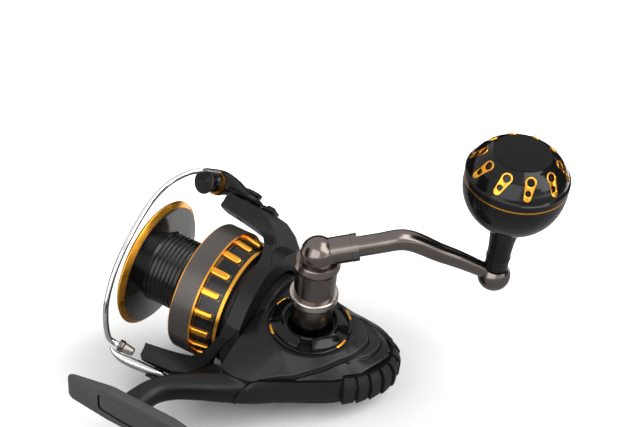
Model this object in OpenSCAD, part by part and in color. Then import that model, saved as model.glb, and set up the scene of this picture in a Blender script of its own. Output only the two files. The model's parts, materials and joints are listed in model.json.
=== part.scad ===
// Spinning reel, lying on its side with the handle up.
// Shapes are drawn about the spool axis: +X forward along it, +Y towards the foot, +Z along the handle
// axis. X is zero at the rear edge of the spool's smooth band. The row frame then starts at the middle of
// the foot's flat face.

/* [Spool] */
// Diameter over the front lip
lip_d = 62; // [58:0.5:62.5]
// Width of the coloured lip, across its face
lip_w = 2.6; // [2:0.1:4]
// Diameter of the skirt's smooth band
skirt_d = 61.4; // [58:0.2:61.6]
// Length of the smooth band
band_len = 10.7; // [8:0.1:13]
// Length of the barred section behind the band
bar_len = 11; // [8:0.5:12]
// Number of bars round the skirt
bar_count = 18; // [10:1:22]
// Width of one bar
bar_w = 3.2; // [2:0.1:4.5]
// Diameter of the arbor that the line is wound on
arbor_d = 33; // [31:0.5:40]
// Length of the arbor between its flanges
arbor_len = 22.8; // [18:0.2:24]
// Number of grooves on the arbor
groove_count = 11; // [4:1:12]

/* [Drag] */
// Diameter of the drag knob
drag_knob_d = 34; // [28:1:36]
// Length of the drag knob in front of the lip
drag_knob_len = 6; // [4:0.5:7]
// Number of washers in the drag stack
washer_count = 5; // [3:1:5]

/* [Rotor and bail] */
// Turn of the rotor arms away from the handle axis
rotor_phase = 56; // [0:1:180]
// Diameter of the rotor's rear ring
rotor_ring_d = 63; // [62:0.5:65]
// Width of a rotor arm
arm_w = 10; // [9.5:0.5:12]
// Distance of the bail pivots in front of the skirt's rear band edge
pivot_x = 11; // [9:0.5:12]
// Diameter of the bail wire
wire_d = 2.6; // [2:0.1:3]
// Diameter of the line roller's cap
roller_d = 10.6; // [9:0.2:11.4]
// Length of the line roller
roller_len = 6.4; // [5:0.2:7]

/* [Body] */
// Thickness of the housing below the main shaft, without its side cap
body_low = 17; // [16:0.5:19]
// Height of the parting plane above the main shaft
parting_z = 9; // [9:0.5:10]
// Height of the side cover's top above the main shaft
cover_z = 17; // [16.5:0.5:18]
// Share of the outline that the cavity takes
cavity_share = 0.9; // [0.88:0.01:0.92]
// Number of tread blocks on the rear cover
tread_count = 8; // [5:1:10]

/* [Foot] */
// Length of the foot
foot_len = 76; // [66:1:82]
// Width of the foot
foot_w = 18.6; // [16:0.2:20]
// Distance of the foot's flat face from the spool axis
foot_y = 82.8; // [78:0.2:84]

/* [Handle] */
// Distance of the handle axis behind the skirt's rear band edge
handle_back = 48.9; // [48:0.1:50]
// Offset of the handle axis from the spool axis
handle_off = 8.8; // [8.6:0.1:9.5]
// Length of the arm, from axis to axis
arm_len = 77.7; // [70:0.1:90]
// Direction of the arm, turned from +X
arm_turn = 217.6; // [180:0.2:260]
// Diameter of the handle column
column_d = 18; // [16:0.5:19]
// Height of the elbow's centre
elbow_z = 59.2; // [58.4:0.2:62]
// Height of the ball at the arm's far end
ball_z = 43; // [38:0.5:47]
// Diameter of that ball
ball_d = 14.2; // [12:0.2:15]

/* [Knob] */
// Diameter of the round knob
knob_d = 42.6; // [36:0.2:48]
// Length of the neck between the ball and the knob
neck_len = 24; // [20:0.5:30]
// Number of drop-shaped windows
window_count = 10; // [6:1:11]

/* [Hidden] */
$fn = 72;

// Radial clearance of a running fit, and of a fixed seat
run_gap = 0.06;
seat_gap = 0.05;
// Space between moving bodies that only pass each other
pass_gap = 0.3;
// Small overlap that makes a cut run past a face
cut = 0.2;

// Spool stations
skirt_r = skirt_d / 2;
skirt_in = skirt_r - 5.1;
recess_front = skirt_r - 2.4;
recess_rear = skirt_r - 3.9;
line_t = 0.9;
plate_x = band_len - 3.7;
flange_x = band_len + arbor_len;
lip_r = lip_d / 2;
lip_in = lip_r - lip_w;
lip_back = flange_x + 1.6;
lip_x = lip_back + 2;
lip_front = lip_x + 1.4;
spool_rear = -bar_len - 1.5;
shaft_r = 2.5;
cup_r = 14;
cup_x = lip_front - 14;

// Rotor stations
cup_out = skirt_in - 1;
cup_in = cup_out - 2.1;
rotor_rear = -25;
rotor_ring_front = -16.5;
rotor_front = plate_x - 3;
pinion_r = 4.2;
pinion_root = 3.4;
nut_r = 7.5;
nut_x = rotor_front + 4.2;
arm_top = 43.6;
lever_lo = arm_top + 0.35;
lever_hi = lever_lo + 3.4;
pin_r = 2.2;
pivot_head_r = 4.4;
lever_r = 7.6;
// Line roller's axis, and the middle of the lever face that it stands on
roller_dir = [0.288, 0.874, -0.391];
roller_at = [30.5, 0, 46.2];
roller_r = roller_d / 2;
axle_r = 1.5;
ring_t = 1;
cap_t = 1.4;
// Direction of the bail holder, and the wire's socket on it
holder_dir = unit([20, 8.4, 0]);
socket_end = [30.5, 9, -42.4];
socket_len = 6.6;

// Body stations
front_x = rotor_rear - 1.3;
bearing_x = front_x + 0.3;
clutch_x = bearing_x + 4.5;
boss_r = cup_in - 1.6;
boss_x = -14.5;
bearing_r = 9.5;
clutch_r = 13;
clutch_in = 8.2;
body_c = [-60, -2];
floor_z = -4;
gear_floor_z = -body_low + 7;
screw_at = [[-38.5, -12.2], [-36, 28.4], [-71.3, 15.3]];
screw_r = 1.5;
screw_head_r = 3;
screw_boss_r = 3.4;
screw_seat_z = -body_low + 10;
screw_top_z = parting_z + 4;
rear_low = -4;
rear_screw_at = [-1.4, 5.6];
rear_screw_r = 1.3;
rear_head_r = 2.4;
rear_head_x = -87;

// Handle stations
handle_x = -handle_back;
knob_x = handle_x + arm_len * cos(arm_turn);
knob_y = handle_off + arm_len * sin(arm_turn);
drive_r = 4;
column_r = column_d / 2;
collar_r = 18.3;
spindle_r = 2.5;
ball_r = ball_d / 2;

// Knob stations
knob_r = knob_d / 2;
neck_z = ball_z + ball_r * 0.72;
knob_c = neck_z + neck_len + knob_r;
line_z = knob_c + 3.4;
groove_z = line_z + 3;
cap_z = groove_z + 10.1;
cap_r = knob_r * 0.55;

// Oscillation gears
tooth_m = 0.75;
small_teeth = 16;
large_teeth = 32;
gear_gap = 0.12;
gear_dist = tooth_m * (small_teeth + large_teeth) / 2 + gear_gap;
post_x = handle_x - sqrt(gear_dist * gear_dist - handle_off * handle_off);
gear_turn = atan2(-handle_off, post_x - handle_x);
crank_r = 8.8;
pin_x = post_x - crank_r;
post_r = 2;
osc_z = 5.6;
osc_t = 2.8;
guide_y = -7.5;
guide_r = 1.25;
guide_x0 = post_x - 15.4;
guide_x1 = post_x + 27.5;
face_r = 19;
face_teeth = 40;
face_tip = -pinion_r - pass_gap;

foot_x = -12.6;

// Smooth closed curve through a few points
function curve_at(a, b, c, d, t) =
  0.5 * (2 * b + (c - a) * t + (2 * a - 5 * b + 4 * c - d) * t * t + (3 * b - a - 3 * c + d) * t * t * t);
function closed_curve(p, n) = let (m = len(p))
  [for (i = [0:m - 1]) for (j = [0:n - 1])
    curve_at(p[(i + m - 1) % m], p[i], p[(i + 1) % m], p[(i + 2) % m], j / n)];
// Smooth open curve through a few points, ends included
function open_curve(p, n) = let (m = len(p))
  concat([for (i = [0:m - 2]) for (j = [0:n - 1])
    curve_at(p[max(i - 1, 0)], p[i], p[i + 1], p[min(i + 2, m - 1)], j / n)], [p[m - 1]]);
function unit(v) = v / norm(v);

// Round tube along a path, with a radius for each point
module sweep(path, radii, side, sides = 12) {
  n = len(path);
  function heading(i) = unit(path[min(i + 1, n - 1)] - path[max(i - 1, 0)]);
  function ring(i) = let (t = heading(i), a = unit(cross(t, side)), b = cross(t, a))
    [for (k = [0:sides - 1]) path[i] + radii[i] * (cos(360 * k / sides) * a + sin(360 * k / sides) * b)];
  points = [for (i = [0:n - 1]) each ring(i)];
  walls = [for (i = [0:n - 2]) for (k = [0:sides - 1])
    let (l = (k + 1) % sides, o = i * sides, q = o + sides)
      each [[o + k, q + l, o + l], [o + k, q + k, q + l]]];
  ends = [for (k = [1:sides - 2]) each
    [[0, k, k + 1], [(n - 1) * sides, (n - 1) * sides + k + 1, (n - 1) * sides + k]]];
  polyhedron(points, concat(walls, ends));
}

// Moves a shape from the spool axis to the row frame
module placed() {
  translate([-foot_x, -foot_y, 0]) children();
}

// Turned shape about the spool axis, from points of radius and X
module lathe_x(p) {
  rotate([0, 90, 0]) rotate_extrude() polygon(p);
}

// Plain ring about the spool axis
module ring_x(x0, x1, r_out, r_in) {
  lathe_x([[r_in, x0], [r_out, x0], [r_out, x1], [r_in, x1]]);
}

// Plain ring about an upright axis
module ring_z(z0, z1, r_out, r_in) {
  rotate_extrude() polygon([[r_in, z0], [r_out, z0], [r_out, z1], [r_in, z1]]);
}

module at_handle() {
  translate([handle_x, handle_off, 0]) children();
}

module at_knob() {
  translate([knob_x, knob_y, 0]) children();
}

// The rotor's own frame: Y faces the viewer's side and Z runs along the roller's arm
module on_rotor() {
  rotate([rotor_phase, 0, 0]) children();
}

// Turns +Z to a given direction
module along(d) {
  rotate([0, acos(d[2] / norm(d)), atan2(d[1], d[0])]) children();
}

// Outline of the housing, before its front is cut straight
body_points = [[-20, -26], [-32, -23.5], [-42, -18.5], [-52, -15.6], [-64, -15.2], [-74, -13.6],
  [-81.2, -8.6], [-84, 3], [-80.7, 12.8], [-72, 23.6], [-60.5, 32], [-49, 39.2], [-38.7, 45.2], [-24, 43],
  [-12, 20], [-12, -10]];
module body_outline(share = 1) {
  translate(body_c) scale(share) translate(-body_c) intersection() {
    polygon(closed_curve(body_points, 5));
    translate([-100 + front_x, -60]) square([100, 120]);
  }
}

// Solid through copies of an outline, scaled about a centre: height and share of each level. The ends are
// fans about the centre, because an outline may turn inwards.
module loft(outline, centre, levels) {
  n = len(outline);
  top = len(levels) - 1;
  sides = [for (l = levels) for (p = outline) let (q = centre + l[1] * (p - centre)) [q[0], q[1], l[0]]];
  middles = [for (l = [levels[0], levels[top]]) [centre[0], centre[1], l[0]]];
  walls = [for (i = [0:top - 1]) for (k = [0:n - 1])
    let (a = i * n + k, b = i * n + (k + 1) % n) each [[a, b, b + n], [a, b + n, a + n]]];
  ends = [for (k = [0:n - 1]) let (l = (k + 1) % n) each
    [[len(sides), l, k], [len(sides) + 1, top * n + k, top * n + l]]];
  polyhedron(concat(sides, middles), concat(walls, ends));
}

// Levels of the housing below its parting plane, and of the cover above it
housing_levels = [[-body_low, 0.6], [-body_low + 1.5, 0.7], [-12, 0.775], [-8, 0.846], [-4, 0.918],
  [-1, 0.98], [0.5, 1], [parting_z, 1]];
cover_levels = [[parting_z, 1], [parting_z + 0.8, 0.985], [parting_z + 2.9, 0.9], [parting_z + 4.6, 0.8],
  [parting_z + 6.2, 0.7], [cover_z - 0.3, 0.61]];
module front_cut() {
  translate([front_x, -100, -100]) cube([200, 200, 200]);
}

// Outline of the rear cover's outer face
rear_points = [[-62, -17], [-73, -15.4], [-81.6, -12.4], [-87, -7], [-89.4, 1], [-88.2, 9], [-84, 17],
  [-77.5, 24], [-66, 31], [-58, 30], [-58, -15]];
rear_levels = [[rear_low, 0.96], [rear_low + 2.5, 1], [parting_z - 4, 1], [parting_z, 0.955]];

// Slice of the stem: centre, half length, half thickness and turn in the XY plane
module stem_slice(c, half_len, half_thick, turn) {
  translate([c[0], c[1], 0]) rotate([0, 0, turn]) rotate([90, 0, 0])
    scale([half_len, half_thick, 1]) cylinder(r = 1, h = 0.4, center = true, $fn = 32);
}
stem_slices = [[[-3.6, foot_y - 3.8], 5.8, 5, -6], [[-5.7, 67.4], 5.2, 5.1, -26],
  [[-11.2, 59.6], 5, 5.4, -44], [[-20.2, 53.1], 5.2, 5.8, -56], [[-31, 46.4], 5.8, 6.6, -58],
  [[-43.5, 36.6], 6, 7.8, -57], [[-53, 29.5], 4.5, 6, -58]];

// Foot's outline: straight sides that taper to rounded ends
foot_corner = 3.2;
foot_end_w = foot_w - 3.4;
function foot_outline() = [for (c = [[1, -1, -90], [1, 1, 0], [-1, 1, 90], [-1, -1, 180]])
  each concat(c[0] * c[1] < 0 ? [[c[0] * foot_len * 0.24, c[1] * foot_w / 2]] : [],
    [for (a = [0:18:90]) [c[0] * (foot_len / 2 - foot_corner), c[1] * (foot_end_w / 2 - foot_corner)]
      + foot_corner * [cos(c[2] + a), sin(c[2] + a)]],
    c[0] * c[1] > 0 ? [[c[0] * foot_len * 0.24, c[1] * foot_w / 2]] : [])];

module foot_plate() {
  thin = 1.5;
  thick = 4.2;
  intersection() {
    translate([foot_x, foot_y, 0]) linear_extrude(foot_w, center = true)
      polygon([[-foot_len / 2, 0], [foot_len / 2, 0], [foot_len / 2, -thin], [16, -thick], [-14, -thick],
        [-foot_len / 2, -thin]]);
    translate([foot_x, foot_y, 0]) rotate([90, 0, 0]) translate([0, 0, -cut])
      linear_extrude(thick + 2 * cut) polygon(foot_outline());
  }
}

// Fixed pieces

module body_housing() {
  color("#232426") placed() difference() {
    union() {
      difference() {
        loft(closed_curve(body_points, 5), body_c, housing_levels);
        front_cut();
      }
      lathe_x([[0, front_x - 1], [boss_r, front_x - 1], [boss_r, boss_x], [0, boss_x]]);
      for (i = [0:len(stem_slices) - 2])
        hull() {
          stem_slice(stem_slices[i][0], stem_slices[i][1], stem_slices[i][2], stem_slices[i][3]);
          stem_slice(stem_slices[i + 1][0], stem_slices[i + 1][1], stem_slices[i + 1][2],
            stem_slices[i + 1][3]);
        }
      foot_plate();
    }
    // Gear cavity, open towards the side cover
    difference() {
      union() {
        translate([0, 0, floor_z]) linear_extrude(parting_z + body_low) body_outline(cavity_share);
        at_handle() translate([0, 0, gear_floor_z]) cylinder(r = face_r + 1, h = parting_z - gear_floor_z);
      }
      for (p = screw_at)
        translate([p[0], p[1], -body_low]) cylinder(r = screw_boss_r, h = body_low + parting_z);
      at_handle() translate([0, 0, -body_low]) cylinder(r = 9, h = 7);
      translate([guide_x1 - 3.5, -30, -3.9]) cube([4, 24.5, 7.4]);
      translate([guide_x0 - 10, guide_y - 3, -4]) cube([11.5, 6, 8]);
    }
    // Bores for the pinion, its bearing and the clutch
    ring_x(front_x - 6, boss_x + cut, pinion_r + 1, 0);
    ring_x(bearing_x, boss_x + cut, bearing_r + seat_gap, 0);
    ring_x(clutch_x, boss_x + cut, clutch_r + seat_gap, 0);
    at_handle() translate([0, 0, -body_low - cut]) cylinder(r = 8 + seat_gap, h = 6 + cut);
    at_handle() translate([0, 0, -body_low]) cylinder(r = drive_r + 1.5, h = 8);
    for (p = screw_at)
      translate([p[0], p[1], -body_low - cut]) {
        cylinder(r = screw_r + seat_gap, h = body_low + parting_z + 2 * cut);
        cylinder(r = screw_head_r + seat_gap, h = screw_seat_z + body_low + cut);
      }
    translate([guide_x0 - cut, guide_y, 0]) rotate([0, 90, 0])
      cylinder(r = guide_r + seat_gap, h = guide_x1 - guide_x0 + 2 * cut);
    for (z = rear_screw_at)
      translate([-90, 0, z]) rotate([0, 90, 0]) cylinder(r = rear_screw_r + seat_gap, h = 8.4);
  }
}

module side_cover() {
  color("#2b2c2e") placed() difference() {
    union() {
      difference() {
        loft(closed_curve(body_points, 5), [handle_x, handle_off], cover_levels);
        front_cut();
      }
      at_handle() translate([0, 0, parting_z]) cylinder(r = collar_r + 0.8, h = cover_z - parting_z);
    }
    difference() {
      translate([0, 0, parting_z - cut]) linear_extrude(2.6 + cut) body_outline(0.8);
      for (p = screw_at)
        translate([p[0], p[1], parting_z - 1]) cylinder(r = screw_boss_r, h = 10);
    }
    ring_x(front_x - 1 - seat_gap, boss_x, boss_r + seat_gap, 0);
    at_handle() translate([0, 0, parting_z - cut]) cylinder(r = 8.5 + seat_gap, h = 20);
    translate([post_x, 0, parting_z]) cylinder(r = post_r + seat_gap, h = 6.4);
    for (p = screw_at)
      translate([p[0], p[1], parting_z - cut])
        cylinder(r = screw_r + seat_gap, h = screw_top_z - parting_z + 2 * cut);
  }
}

module rear_cover() {
  color("#1b1b1c") placed() difference() {
    loft(closed_curve(rear_points, 5), body_c, rear_levels);
    translate([0, 0, rear_low - 1]) linear_extrude(parting_z - rear_low + 2) {
      translate(body_c) scale(1.004) translate(-body_c) body_outline();
      translate([-72, -60]) square([60, 120]);
      translate([-75.5, 0]) square([60, 60]);
    }
    for (i = [0:tread_count])
      translate([-64, 4, 0]) rotate([0, 0, 118 + i * 124 / tread_count])
        translate([23.2, -0.8, -40]) cube([20, 1.6, 80]);
    for (z = rear_screw_at)
      translate([-95, 0, z]) rotate([0, 90, 0]) {
        cylinder(r = rear_screw_r + seat_gap, h = 30);
        cylinder(r = rear_head_r + seat_gap, h = 95 + rear_head_x);
      }
  }
}

module cover_screws() {
  color("silver") placed()
    for (p = screw_at)
      translate([p[0], p[1], 0]) difference() {
        union() {
          translate([0, 0, screw_seat_z - 0.1]) cylinder(r = screw_r, h = screw_top_z - screw_seat_z + 0.1);
          translate([0, 0, screw_seat_z - 1.6]) cylinder(r = screw_head_r, h = 1.6);
        }
        translate([0, 0, screw_seat_z - 2.8]) cylinder(r = 1.2, h = 2, $fn = 6);
      }
}

module rear_screws() {
  color("silver") placed()
    for (z = rear_screw_at)
      translate([rear_head_x, 0, z]) rotate([0, 90, 0]) difference() {
        union() {
          cylinder(r = rear_screw_r, h = 5);
          translate([0, 0, -1.2]) cylinder(r = rear_head_r, h = 1.2);
        }
        translate([0, 0, -1.4]) cylinder(r = 1, h = 1, $fn = 6);
      }
}

// Sloping ring round the foot of the handle, cut into segments
segment_count = 5;
notch_w = 5.6;
module side_collar() {
  hole = column_r + 2;
  color("#111113") placed() at_handle() difference() {
    rotate_extrude() polygon([[hole, cover_z], [collar_r, cover_z], [collar_r, cover_z + 0.8],
      [collar_r - 1.4, cover_z + 1.6], [hole + 1.6, cover_z + 3.6], [hole, cover_z + 3.6]]);
    for (i = [0:segment_count - 1])
      rotate([0, 0, i * 360 / segment_count + 39]) translate([hole + 1.2, -notch_w / 2, cover_z + 2.2])
        rotate([0, 22, 0]) cube([collar_r - hole - 1.3, notch_w, 4]);
    for (a = mark_at)
      rotate([0, 0, a - 7.5]) mark_arc(seat_gap);
  }
}

// Short coloured arcs let into the collar's rim, by the angle of their middles
mark_at = [48, 168, 228, 348];
module mark_arc(gap) {
  rotate_extrude(angle = 15) polygon([[collar_r - 1.1 - gap, cover_z + 0.4 - gap],
    [collar_r + 0.1, cover_z + 0.4 - gap], [collar_r + 0.1, cover_z + 1.1], [collar_r - 0.6, cover_z + 1.5],
    [collar_r - 1.1 - gap, cover_z + 1.9]]);
}

module collar_marks() {
  color("#e09a26") placed() at_handle()
    for (a = mark_at)
      rotate([0, 0, a - 7.2]) rotate_extrude(angle = 14.4)
        polygon([[collar_r - 1.1, cover_z + 0.4], [collar_r - 0.05, cover_z + 0.4],
          [collar_r - 0.05, cover_z + 0.8], [collar_r - 1.1, cover_z + 1.5]]);
}

module side_cap() {
  color("#1a1a1b") placed() at_handle() difference() {
    union() {
      translate([0, 0, -body_low - 2]) cylinder(r = 10, h = 2);
      translate([0, 0, -body_low]) cylinder(r = 8, h = 1);
    }
    translate([-6, -0.8, -body_low - 2.2]) cube([12, 1.6, 1]);
  }
}

module handle_bearing() {
  color("silver") placed() at_handle()
    ring_z(parting_z + 3.2, cover_z - 0.4, 8.5, drive_r + run_gap);
}

module cap_bearing() {
  color("silver") placed() at_handle()
    ring_z(-body_low + 1.1, -body_low + 5.8, 8, drive_r + run_gap);
}

module pinion_bearing() {
  color("silver") placed() ring_x(bearing_x + 0.05, clutch_x - 0.1, bearing_r, pinion_r + run_gap);
}

module clutch_outer() {
  color("gray") placed() ring_x(clutch_x + 0.05, clutch_x + 5.4, clutch_r, clutch_in);
}

module clutch_retainer() {
  color("dimgray") placed() ring_x(clutch_x + 5.45, boss_x, clutch_r, clutch_in + 0.4);
}

module guide_rod() {
  color("silver") placed()
    translate([guide_x0, guide_y, 0]) rotate([0, 90, 0]) cylinder(r = guide_r, h = guide_x1 - guide_x0);
}

module oscillation_post() {
  color("silver") placed() translate([post_x, 0, osc_z]) cylinder(r = post_r, h = parting_z + 6.2 - osc_z);
}

// Handle, drive shaft and drive gear

module drive_shaft() {
  color("silver") placed() at_handle()
    translate([0, 0, -body_low + 1.4]) cylinder(r = drive_r, h = body_low - 1.4 + cover_z + 8);
}

module drive_gear() {
  tooth_h = 1.5;
  color("#b8a36a") placed() at_handle() difference() {
    union() {
      translate([0, 0, face_tip - tooth_h - 3]) cylinder(r = face_r, h = 3);
      translate([0, 0, -body_low + 7.4]) cylinder(r = 7, h = body_low - 7.4 + face_tip - 0.4);
      for (i = [0:face_teeth - 1])
        rotate([0, 0, i * 360 / face_teeth]) translate([face_r - 5, -0.6, face_tip - tooth_h - 0.1])
          cube([4.8, 1.2, tooth_h + 0.1]);
    }
    translate([0, 0, -body_low]) cylinder(r = drive_r + seat_gap, h = 40);
    for (a = [0:60:300])
      rotate([0, 0, a]) translate([10.4, 0, face_tip - 10]) cylinder(r = 2, h = 20);
  }
}

// Outline of a spur gear: thin straight-flanked teeth
function gear_points(teeth, m) = let (rp = teeth * m / 2, half = 360 / teeth)
  [for (i = [0:teeth - 1]) each [
    [rp - 1.1 * m, (i - 0.34) * half], [rp + 0.85 * m, (i - 0.12) * half],
    [rp + 0.85 * m, (i + 0.12) * half], [rp - 1.1 * m, (i + 0.34) * half]]];
module gear_plate(teeth, m) {
  polygon([for (p = gear_points(teeth, m)) p[0] * [cos(p[1]), sin(p[1])]]);
}

module oscillation_pinion() {
  color("#c9b37a") placed() at_handle() difference() {
    translate([0, 0, osc_z]) rotate([0, 0, gear_turn]) linear_extrude(osc_t)
      gear_plate(small_teeth, tooth_m);
    translate([0, 0, osc_z - 1]) cylinder(r = drive_r + seat_gap, h = osc_t + 2);
  }
}

module oscillation_gear() {
  half_tooth = 180 / large_teeth;
  color("#c9c2b0") placed() translate([post_x, 0, 0]) {
    difference() {
      translate([0, 0, osc_z]) rotate([0, 0, gear_turn + 180 + half_tooth])
        linear_extrude(osc_t) gear_plate(large_teeth, tooth_m);
      translate([0, 0, osc_z - 1]) cylinder(r = post_r + run_gap, h = osc_t + 2);
    }
    // Crank pin, ending just above the slider
    translate([-crank_r, 0, osc_z - pass_gap / 2]) cylinder(r = 1.5, h = osc_t + 0.6);
  }
}

column_low = cover_z + 1;
ring_low = 33.2;
ring_high = 37.6;
upper_low = 52;
upper_high = 56.2;
module handle_column() {
  color("#5a5350") placed() at_handle() difference() {
    union() {
      translate([0, 0, column_low]) cylinder(r = column_r, h = ring_low - column_low - 0.05);
      translate([0, 0, ring_low - 1]) cylinder(r = column_r - 1.2, h = upper_low - ring_low + 1);
      translate([0, 0, ring_high + 0.05]) cylinder(r = column_r - 0.2, h = upper_low - ring_high - 0.1);
    }
    translate([0, 0, column_low - 1]) cylinder(r = drive_r + seat_gap, h = cover_z + 9 - column_low);
    for (i = [0:7])
      rotate([0, 0, i * 45]) translate([column_r - 0.5, -0.3, column_low - 1]) cube([2, 0.6, 9]);
  }
}

module column_ring() {
  color("#a59b95") placed() at_handle() rotate_extrude()
    polygon([[column_r - 1.15, ring_low], [column_r + 0.9, ring_low], [column_r + 1.5, ring_low + 1],
      [column_r + 1.5, ring_high - 0.5], [column_r + 1, ring_high], [column_r - 1.15, ring_high]]);
}

module upper_ring() {
  color("#6e6763") placed() at_handle() rotate_extrude()
    polygon([[0, upper_low + 0.05], [column_r + 0.5, upper_low + 0.05], [column_r + 0.8, upper_low + 1.5],
      [column_r - 0.2, upper_high], [0, upper_high]]);
}

// Points of the arm's middle line, from the handle axis outwards: reach and height
elbow_r = 7.5;
sleeve_r = 5.8;
sleeve_tilt = 10.3;
sleeve_dir = [cos(arm_turn) * cos(sleeve_tilt), sin(arm_turn) * cos(sleeve_tilt), sin(sleeve_tilt)];
sleeve_len = 16.6;
arm_start = sleeve_len * [cos(sleeve_tilt), sin(sleeve_tilt)] + [0, elbow_z];
arm_drop = elbow_z - ball_z;
arm_line = [arm_start, [25, elbow_z + 4.5], [33, elbow_z + 6], [38, elbow_z + 5.3], [43, elbow_z + 3],
  [51, ball_z + arm_drop * 0.9], [arm_len - 17, ball_z + arm_drop * 0.6], [arm_len - 7, ball_z + 4.1],
  [arm_len, ball_z]];
arm_radii = [4.2, 4.2, 4.3, 4.3, 4.2, 4, 3.7, 3.3, 3.2];
module handle_elbow() {
  color("#5a5350") placed() at_handle() difference() {
    union() {
      translate([0, 0, elbow_z]) sphere(r = elbow_r);
      translate([0, 0, elbow_z]) along(sleeve_dir) {
        cylinder(r = sleeve_r, h = sleeve_len - 3.2);
        cylinder(r = sleeve_r - 0.7, h = sleeve_len - 0.05);
      }
    }
    translate([0, 0, upper_high - 20]) cylinder(r = 20, h = 20.05);
  }
}

module sleeve_ring() {
  color("#6e6763") placed() at_handle() translate([0, 0, elbow_z]) along(sleeve_dir)
    ring_z(sleeve_len - 3, sleeve_len - 0.2, sleeve_r + 0.1, sleeve_r - 0.7 + seat_gap);
}

module handle_arm() {
  steps = 4;
  path = [for (p = open_curve(arm_line, steps)) [p[0] * cos(arm_turn), p[0] * sin(arm_turn), p[1]]];
  radii = [for (r = open_curve([for (r = arm_radii) [r, 0]], steps)) r[0]];
  color("#5a5350") placed() difference() {
    union() {
      at_handle() sweep(path, radii, [sin(arm_turn), -cos(arm_turn), 0], 16);
      at_knob() translate([0, 0, ball_z]) sphere(r = ball_r);
    }
    at_handle() translate([0, 0, elbow_z]) along(sleeve_dir) cylinder(r = sleeve_r + 1, h = sleeve_len);
    at_knob() translate([0, 0, ball_z - 2]) cylinder(r = spindle_r + seat_gap, h = 20);
    at_knob() translate([0, 0, neck_z - pass_gap]) cylinder(r = 8, h = 10);
  }
}

module knob_spindle() {
  color("silver") placed() at_knob() {
    translate([0, 0, ball_z - 2]) cylinder(r = spindle_r, h = line_z + 4.8 - ball_z + 2);
    translate([0, 0, line_z + 4.8]) cylinder(r = 4, h = 1.6);
  }
}

// Round knob, turning on its spindle

module knob_neck() {
  color("#161617") placed() at_knob() rotate_extrude()
    polygon(concat([[spindle_r + run_gap, neck_z], [4.7, neck_z], [5, neck_z + 0.4], [5, neck_z + 5.4],
      [5.25, neck_z + 5.8], [5.25, neck_z + 6.6], [5, neck_z + 7]],
      [for (t = [0.25:0.25:1]) [5 + 1.6 * t * t, neck_z + 7 + t * (neck_len - 7.4)]],
      [[6.6, neck_z + neck_len], [spindle_r + run_gap, neck_z + neck_len]]));
}

shell_t = 2.2;
module knob_lower_shell() {
  inner = knob_r - shell_t;
  color("#131314") placed() at_knob() difference() {
    union() {
      translate([0, 0, knob_c]) sphere(r = knob_r);
      translate([0, 0, knob_c - 0.3]) cylinder(r = knob_r + 0.15, h = 5);
    }
    translate([0, 0, knob_c]) sphere(r = inner);
    translate([0, 0, line_z - 0.4]) cylinder(r = 60, h = 60);
    translate([0, 0, knob_c - 0.2]) cylinder(r = inner - 0.2, h = 10);
    translate([0, 0, neck_z]) cylinder(r = bearing_out + seat_gap, h = 60);
    translate([0, 0, neck_z]) cylinder(r = 8, h = neck_len + 0.05);
  }
}

bearing_out = 5.6;
module knob_bearings() {
  color("silver") placed() at_knob() {
    ring_z(neck_z + neck_len + 0.1, neck_z + neck_len + 4, bearing_out, spindle_r + run_gap);
    ring_z(line_z + 0.5, line_z + 4.5, bearing_out, spindle_r + run_gap);
  }
}

module knob_line() {
  color("#e09a26") placed() at_knob() ring_z(line_z - 0.35, line_z + 0.35, knob_r + 0.2, knob_r - shell_t);
}

// Flank of the upper shell, where the windows are let in
flank_lo = [knob_r - 0.7, groove_z + 0.7];
flank_hi = [cap_r + 0.8, cap_z - 0.4];
flank_mid = (flank_lo + flank_hi) / 2 + [0.9, 0.9];
flank_bow = 2 * flank_mid - (flank_lo + flank_hi) / 2;
flank_tilt = atan2(flank_lo[0] - flank_hi[0], flank_hi[1] - flank_lo[1]);
function drop_points(grow) = concat(
  [for (a = [-10:20:190]) [0.7 + (2.4 + grow) * cos(a), 2.6 + (2.4 + grow) * sin(a)]],
  [for (a = [190:20:350]) [-0.7 + (1.6 + grow) * cos(a), -3.4 + (1.6 + grow) * sin(a)]]);

// Puts a shape on each window's place, with Z out of the flank and Y up it
module at_windows() {
  for (i = [0:window_count - 1])
    rotate([0, 0, i * 360 / window_count + 16]) translate([flank_mid[0], 0, flank_mid[1]])
      rotate([0, 90 - flank_tilt, 0]) rotate([0, 0, 90]) children();
}

module knob_upper_shell() {
  color("#131314") placed() at_knob() difference() {
    rotate_extrude() polygon(concat([[bearing_out + seat_gap, line_z + 0.4], [knob_r + 0.15, line_z + 0.4],
      [knob_r + 0.15, groove_z], [knob_r - 0.4, groove_z + 0.3]],
      [for (t = [0:0.1:1]) (1 - t) * (1 - t) * flank_lo + 2 * t * (1 - t) * flank_bow + t * t * flank_hi],
      [[cap_r + 0.2, cap_z], [cap_r + 0.05, cap_z], [cap_r + 0.05, cap_z - 1.2],
      [cap_r - 2, cap_z - 1.2], [cap_r - 2, cap_z - 3], [bearing_out + seat_gap, cap_z - 3]]));
    at_windows() translate([0, 0, -1.6]) linear_extrude(10) polygon(drop_points(seat_gap));
  }
}

module knob_windows() {
  color("#e8a52c") placed() at_knob() at_windows() difference() {
    translate([0, 0, -1.5]) linear_extrude(1.1) polygon(drop_points(0));
    translate([0.7, 2.6, -3]) cylinder(r = 1.6, h = 10);
    translate([-0.4, -1.7, -3]) cylinder(r = 1.2, h = 10);
  }
}

module knob_cap() {
  color("#0d0d0e") placed() at_knob() {
    translate([0, 0, cap_z - 1.1]) cylinder(r = cap_r, h = 1.3);
    translate([0, 0, cap_z - 2.6]) cylinder(r = cap_r - 2.05, h = 1.6);
  }
}

// Rotor and pinion

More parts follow.
